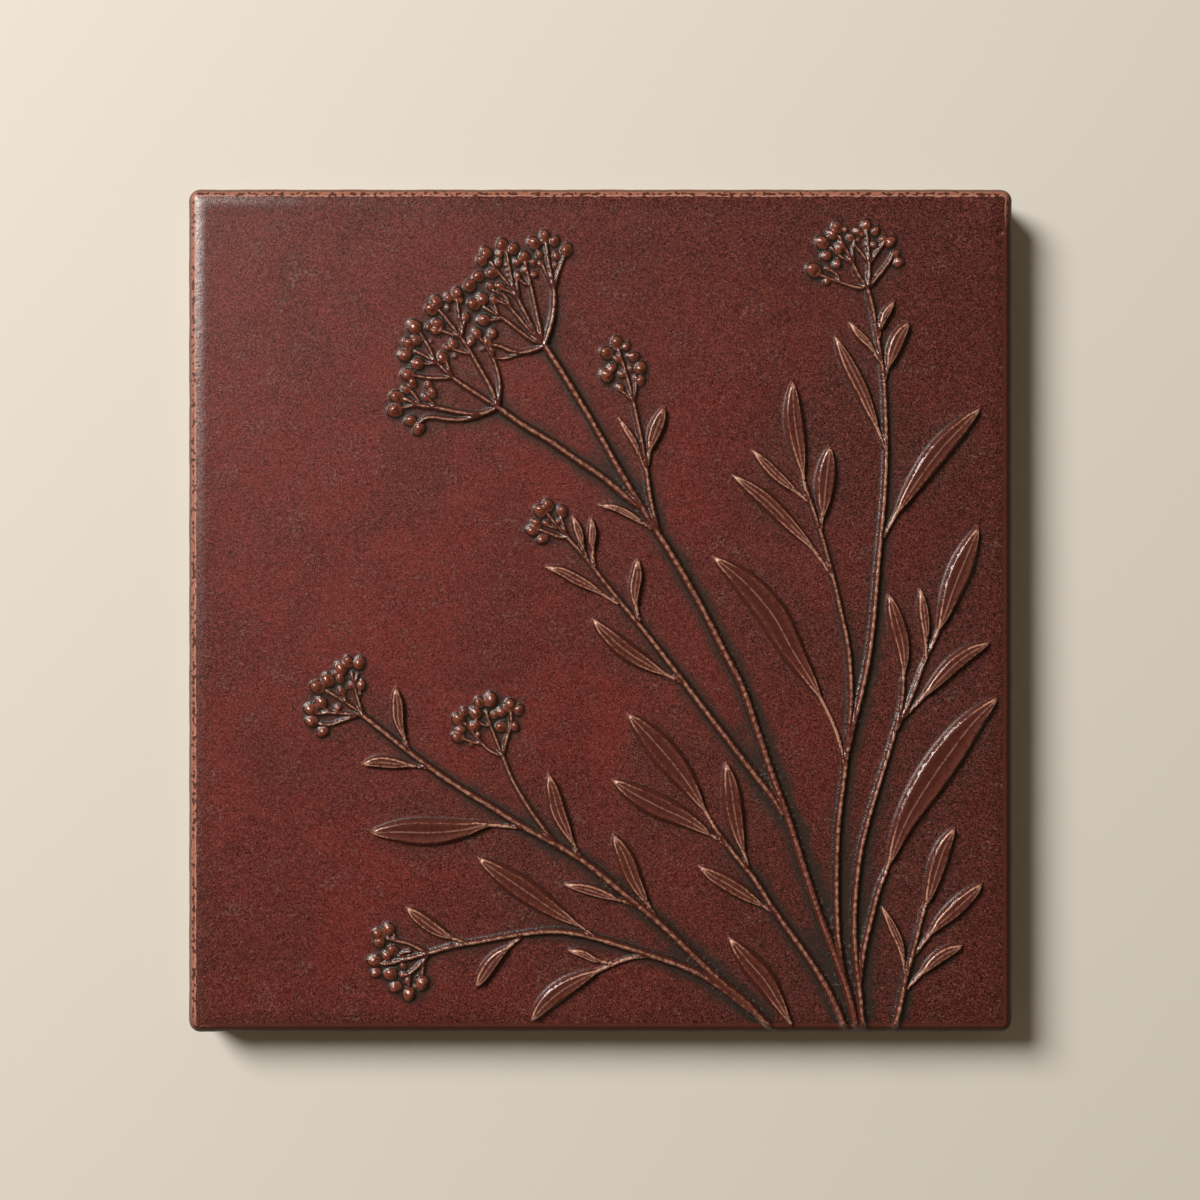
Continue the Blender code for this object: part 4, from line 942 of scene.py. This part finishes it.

# Each ramp goes from low to high as what it follows goes from its start to its end. The copper
# brown rim shows at the left and the top. At the right and the foot, turned from the lamp, the
# rim and its lip are painted darker: painted shade.
ramp = {
    name: add_node(tree, "ShaderNodeMapRange", {"Value": follows, "From Min": start,
                                                "From Max": end, "To Min": low, "To Max": high})
    for name, follows, start, end, low, high in (
        ("on sprig", raised_here, 0.25, 0.5, 0.0, 1.0),
        ("at foot", pool_and_shade, 0.02, 0.06, 0.0, 1.0),
        ("turned from lamp", down_right, -8.0, 12.0, 0.0, 1.0),
        ("over rim", inside, 2.4, 2.0, 0.0, 1.0),
        ("over lip", inside, 1.75, 1.4, 0.0, 1.0),
        ("on band", ragged, 2.4, 2.1, 0.0, 1.0),
        ("smooth sprig", raised_here, 0.25, 0.6, 1.0, 0.3),
        ("smooth edge", inside, 2.4, 4.2, 0.4, 1.0),
        ("beading", climb, 0.02, 0.12, 0.2, 1.0),
        ("rough rim", inside, 1.8, 1.2, 0.0, 0.3),
        ("glossy edge", inside, 4.4, 2.8, 0.0, -0.14),
        ("wet foot", climb, 0.02, 0.1, 0.22, 0.46),
        ("glassy edge", inside, 3.8, 2.4, 0.0, 0.55),
        ("at left", leftward, 50.0, 72.0, 0.25, 1.0),
        ("dull band", ragged, 2.05, 2.35, 0.3, 1.0))}

# Glaze ran down off the sprigs. It lies thick in a pool round the foot of each and thin on its
# crest, with frosty beads on the ground and dark specks on the sprigs. The dark round the stems
# is partly painted shade. Each of these is its first value times its second, plus its third.
pool, dark_pool_and_shade, crest, frost, speck, foot_dots, rim_shade_right_and_foot, lip, smooth, beaded, shine = (
    add_node(tree, "ShaderNodeMath", {0: value, 1: times, 2: plus}, operation="MULTIPLY_ADD")
    for value, times, plus in (
        (mottle, 0.06, climb), (mottle, 0.03, pool_and_shade), (grain, -0.1, hollow),
        (beads, mottle, 0.0), (beads, ramp["on sprig"], 0.0), (beads, ramp["at foot"], 0.0),
        (ramp["turned from lamp"], ramp["over rim"], 0.0), (ramp["turned from lamp"], ramp["over lip"], 0.0),
        (ramp["smooth sprig"], ramp["smooth edge"], 0.0),
        (ramp["beading"], ramp["smooth sprig"], 0.0),
        (ramp["glassy edge"], ramp["at left"], ramp["wet foot"])))

# Pits cluster along the copper band, which breaks from the dark glaze at a thin pale line
off_band, break_line, flecks_on_rim = (
    add_node(tree, "ShaderNodeMath", {0: value, 1: line}, operation="SUBTRACT")
    for value, line in ((inside, COPPER_BAND), (ragged, BREAK_LINE), (grain, PALEST_GRAIN)))
off_band, break_line = (add_node(tree, "ShaderNodeMath", {0: value}, operation="ABSOLUTE")
                        for value in (off_band, break_line))
pitted = add_node(tree, "ShaderNodeMath", {0: off_band, 1: -0.3, 2: pits},
                  operation="MULTIPLY_ADD")
flecks_on_rim = add_node(tree, "ShaderNodeMath", {0: flecks_on_rim, 1: ramp["on band"]},
                         operation="MULTIPLY")

colour = lay_colours(tree, "#5a130e", (
    # What the colour follows, where it starts, where it is full, how much at most
    (clouds, 0.36, 0.62, 1.0, "#701c15"),
    (mottle, 0.48, 0.75, 0.4, "#431a15"),
    (mottle, 0.42, 0.25, 0.5, "#7c2319"),
    (far_from_reddest, 40.0, 118.0, 0.7, "#200e0b"),
    # Painted shade and pooled glaze: darker where sprigs stand close together
    (pool_and_shade_among_sprigs, 0.05, 0.24, 0.5, "#26221e"),
    (ragged, 6.5, 2.8, 0.45, "#301d1a"),
    (flecks, 0.52, 0.7, 0.2, "#7d3d33"),
    (grain, 0.51, 0.6, 0.88, "#8f4e46"),
    (grain, 0.48, 0.39, 1.0, "#200c0a"),
    (frost, 0.35, 0.43, 0.25, "#977a70"),
    # Pooled glaze and painted shade beside the stems, most on the side turned from the lamp
    (dark_pool_and_shade, 0.02, 0.06, 0.82, "#2a2823"),
    (pool, 0.05, 0.13, 0.85, "#1f1d19"),
    (foot_dots, 0.55, 0.66, 0.5, "#6c6861"),
    (raised_here, 0.13, 0.32, 0.88, "#572820"),
    (raised_here, 0.8, 1.1, 0.55, "#7a453a"),
    (crest, -0.16, -0.26, 0.8, "#c8957e"),
    # Pale on the veins, where the glaze ran thin, and in part a painted highlight
    (vein, 0.25, 0.85, 0.5, "#ae8474"),
    (vein, -0.3, -1.0, 0.5, "#93503c"),
    (speck, 0.54, 0.63, 0.65, "#48190f"),
    (ragged, 2.28, 2.02, 1.0, "#945b4a"),
    (flecks_on_rim, 0.1, 0.3, 0.6, "#b98470"),
    (break_line, 0.16, 0.06, 0.5, "#cf9f8f"),
    (pitted, 0.43, 0.52, 0.85, "#3a150f"),
    # Painted shade: the rim and its lip darker at the right and the foot, turned from the lamp
    (rim_shade_right_and_foot, 0.25, 0.75, 0.95, "#5c2d23"),
    (lip, 0.25, 0.75, 0.9, "#452a20"),
    # Painted shade: the steep outer edge of the rim and the glazed sides, darker all round
    (inside, 1.05, 0.75, 0.7, "#56443a")))

skin = add_node(tree, "ShaderNodeBump", {"Height": grain, "Strength": smooth,
                                         "Distance": 0.042 * MM})
for height, strength, deep in ((beads, beaded, 0.1), (mottle, 1.0, 0.08)):
    skin = add_node(tree, "ShaderNodeBump", {"Height": height, "Strength": strength,
                                             "Distance": deep * MM, "Normal": skin})

# The glaze is glossy where it lies thick and inside the rim, and dull on the copper band
gloss = add_node(tree, "ShaderNodeMapRange", {"Value": climb, "From Min": 0.02,
                                              "From Max": 0.12, "To Min": 0.42, "To Max": 0.19},
                 interpolation_type="SMOOTHSTEP")
for other, operation in ((ramp["rough rim"], "ADD"), (ramp["glossy edge"], "ADD"),
                         (GLOSSIEST, "MAXIMUM")):
    gloss = add_node(tree, "ShaderNodeMath", {0: gloss, 1: other}, operation=operation)
shine = add_node(tree, "ShaderNodeMath", {0: shine, 1: ramp["dull band"]}, operation="MULTIPLY")
tree.links.new(colour, shader.inputs["Base Color"])
tree.links.new(gloss, shader.inputs["Roughness"])
tree.links.new(shine, shader.inputs["Specular IOR Level"])
tree.links.new(skin, shader.inputs["Normal"])
shader.inputs["IOR"].default_value = GLAZE_IOR
tile_mesh.materials.append(oxblood)

# Bare stoneware on the back and the foot of the sides: pressed smooth and fired to a warm, matt
# brown, with darker grains of grog in it
GROG_SIZE = 0.7
BODY_CLOUD_SIZE = 14.0

bare_clay = bpy.data.materials.new("bare_fired_stoneware")
bare_clay.use_nodes = True
tree = bare_clay.node_tree
shader = tree.nodes["Principled BSDF"]
place = add_node(tree, "ShaderNodeTexCoord", {}, "Object")
mm = add_node(tree, "ShaderNodeMapping", {"Vector": place, "Scale": (1 / MM, 1 / MM, 1 / MM)})
grog = add_node(tree, "ShaderNodeTexNoise", {"Vector": mm, "Scale": 1 / GROG_SIZE, "Detail": 3.0,
                                             "Roughness": 0.65})
body_clouds = add_node(tree, "ShaderNodeTexNoise", {"Vector": mm, "Scale": 1 / BODY_CLOUD_SIZE,
                                                    "Detail": 3.0})
colour = lay_colours(tree, "#a97e5f", ((body_clouds, 0.35, 0.65, 1.0, "#b98d6d"),
                                       (grog, 0.58, 0.68, 0.6, "#6e4a35")))
skin = add_node(tree, "ShaderNodeBump", {"Height": grog, "Strength": 1.0, "Distance": 0.08 * MM})
tree.links.new(colour, shader.inputs["Base Color"])
tree.links.new(skin, shader.inputs["Normal"])
shader.inputs["Roughness"].default_value = 0.9
tile_mesh.materials.append(bare_clay)

for face in tile_mesh.polygons:
    if face.center.z < GLAZE_LINE * MM:
        face.material_index = 1

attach(tile, "root")
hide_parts("relief_tile")

# ---------------------------------------------------------------------------------------
# The studio: a plain pale floor under the tile and one large soft lamp, low at the upper left,
# with a little warm light from all round.

bpy.ops.object.select_all(action="DESELECT")
bpy.ops.mesh.primitive_plane_add(size=3.0, location=(0, 0, -0.02 * MM))
floor = bpy.context.object
floor.name = "studio_floor"
# Matt wall paint on a board: even, pale and without gloss
paint = bpy.data.materials.new("pale_matt_paint")
paint.use_nodes = True
shader = paint.node_tree.nodes["Principled BSDF"]
shader.inputs["Base Color"].default_value = linear("#e1ddd5")
shader.inputs["Roughness"].default_value = 0.95
shader.inputs["Specular IOR Level"].default_value = 0.0
floor.data.materials.append(paint)

LAMP_AWAY = 1.5
LAMP_BEARING = math.radians(141.9)
LAMP_HEIGHT = math.radians(41.0)
LAMP_SPREAD = math.radians(25.0)
lamp_data = bpy.data.lights.new("soft_lamp", "AREA")
lamp_data.shape = "DISK"
lamp_data.size = 2 * LAMP_AWAY * math.tan(LAMP_SPREAD / 2)
lamp_data.energy = 29.0
lamp_data.color = (1.0, 0.965, 0.91)
lamp = bpy.data.objects.new("soft_lamp", lamp_data)
toward = Vector((math.cos(LAMP_BEARING) * math.cos(LAMP_HEIGHT),
                 math.sin(LAMP_BEARING) * math.cos(LAMP_HEIGHT), math.sin(LAMP_HEIGHT)))
lamp.location = toward * LAMP_AWAY
lamp.rotation_euler = toward.to_track_quat("Z", "Y").to_euler()
bpy.context.collection.objects.link(lamp)

room = bpy.data.worlds.new("room_light")
room.use_nodes = True
room.node_tree.nodes["Background"].inputs["Color"].default_value = (1.0, 0.80, 0.53, 1.0)
room.node_tree.nodes["Background"].inputs["Strength"].default_value = 0.115
bpy.context.scene.world = room
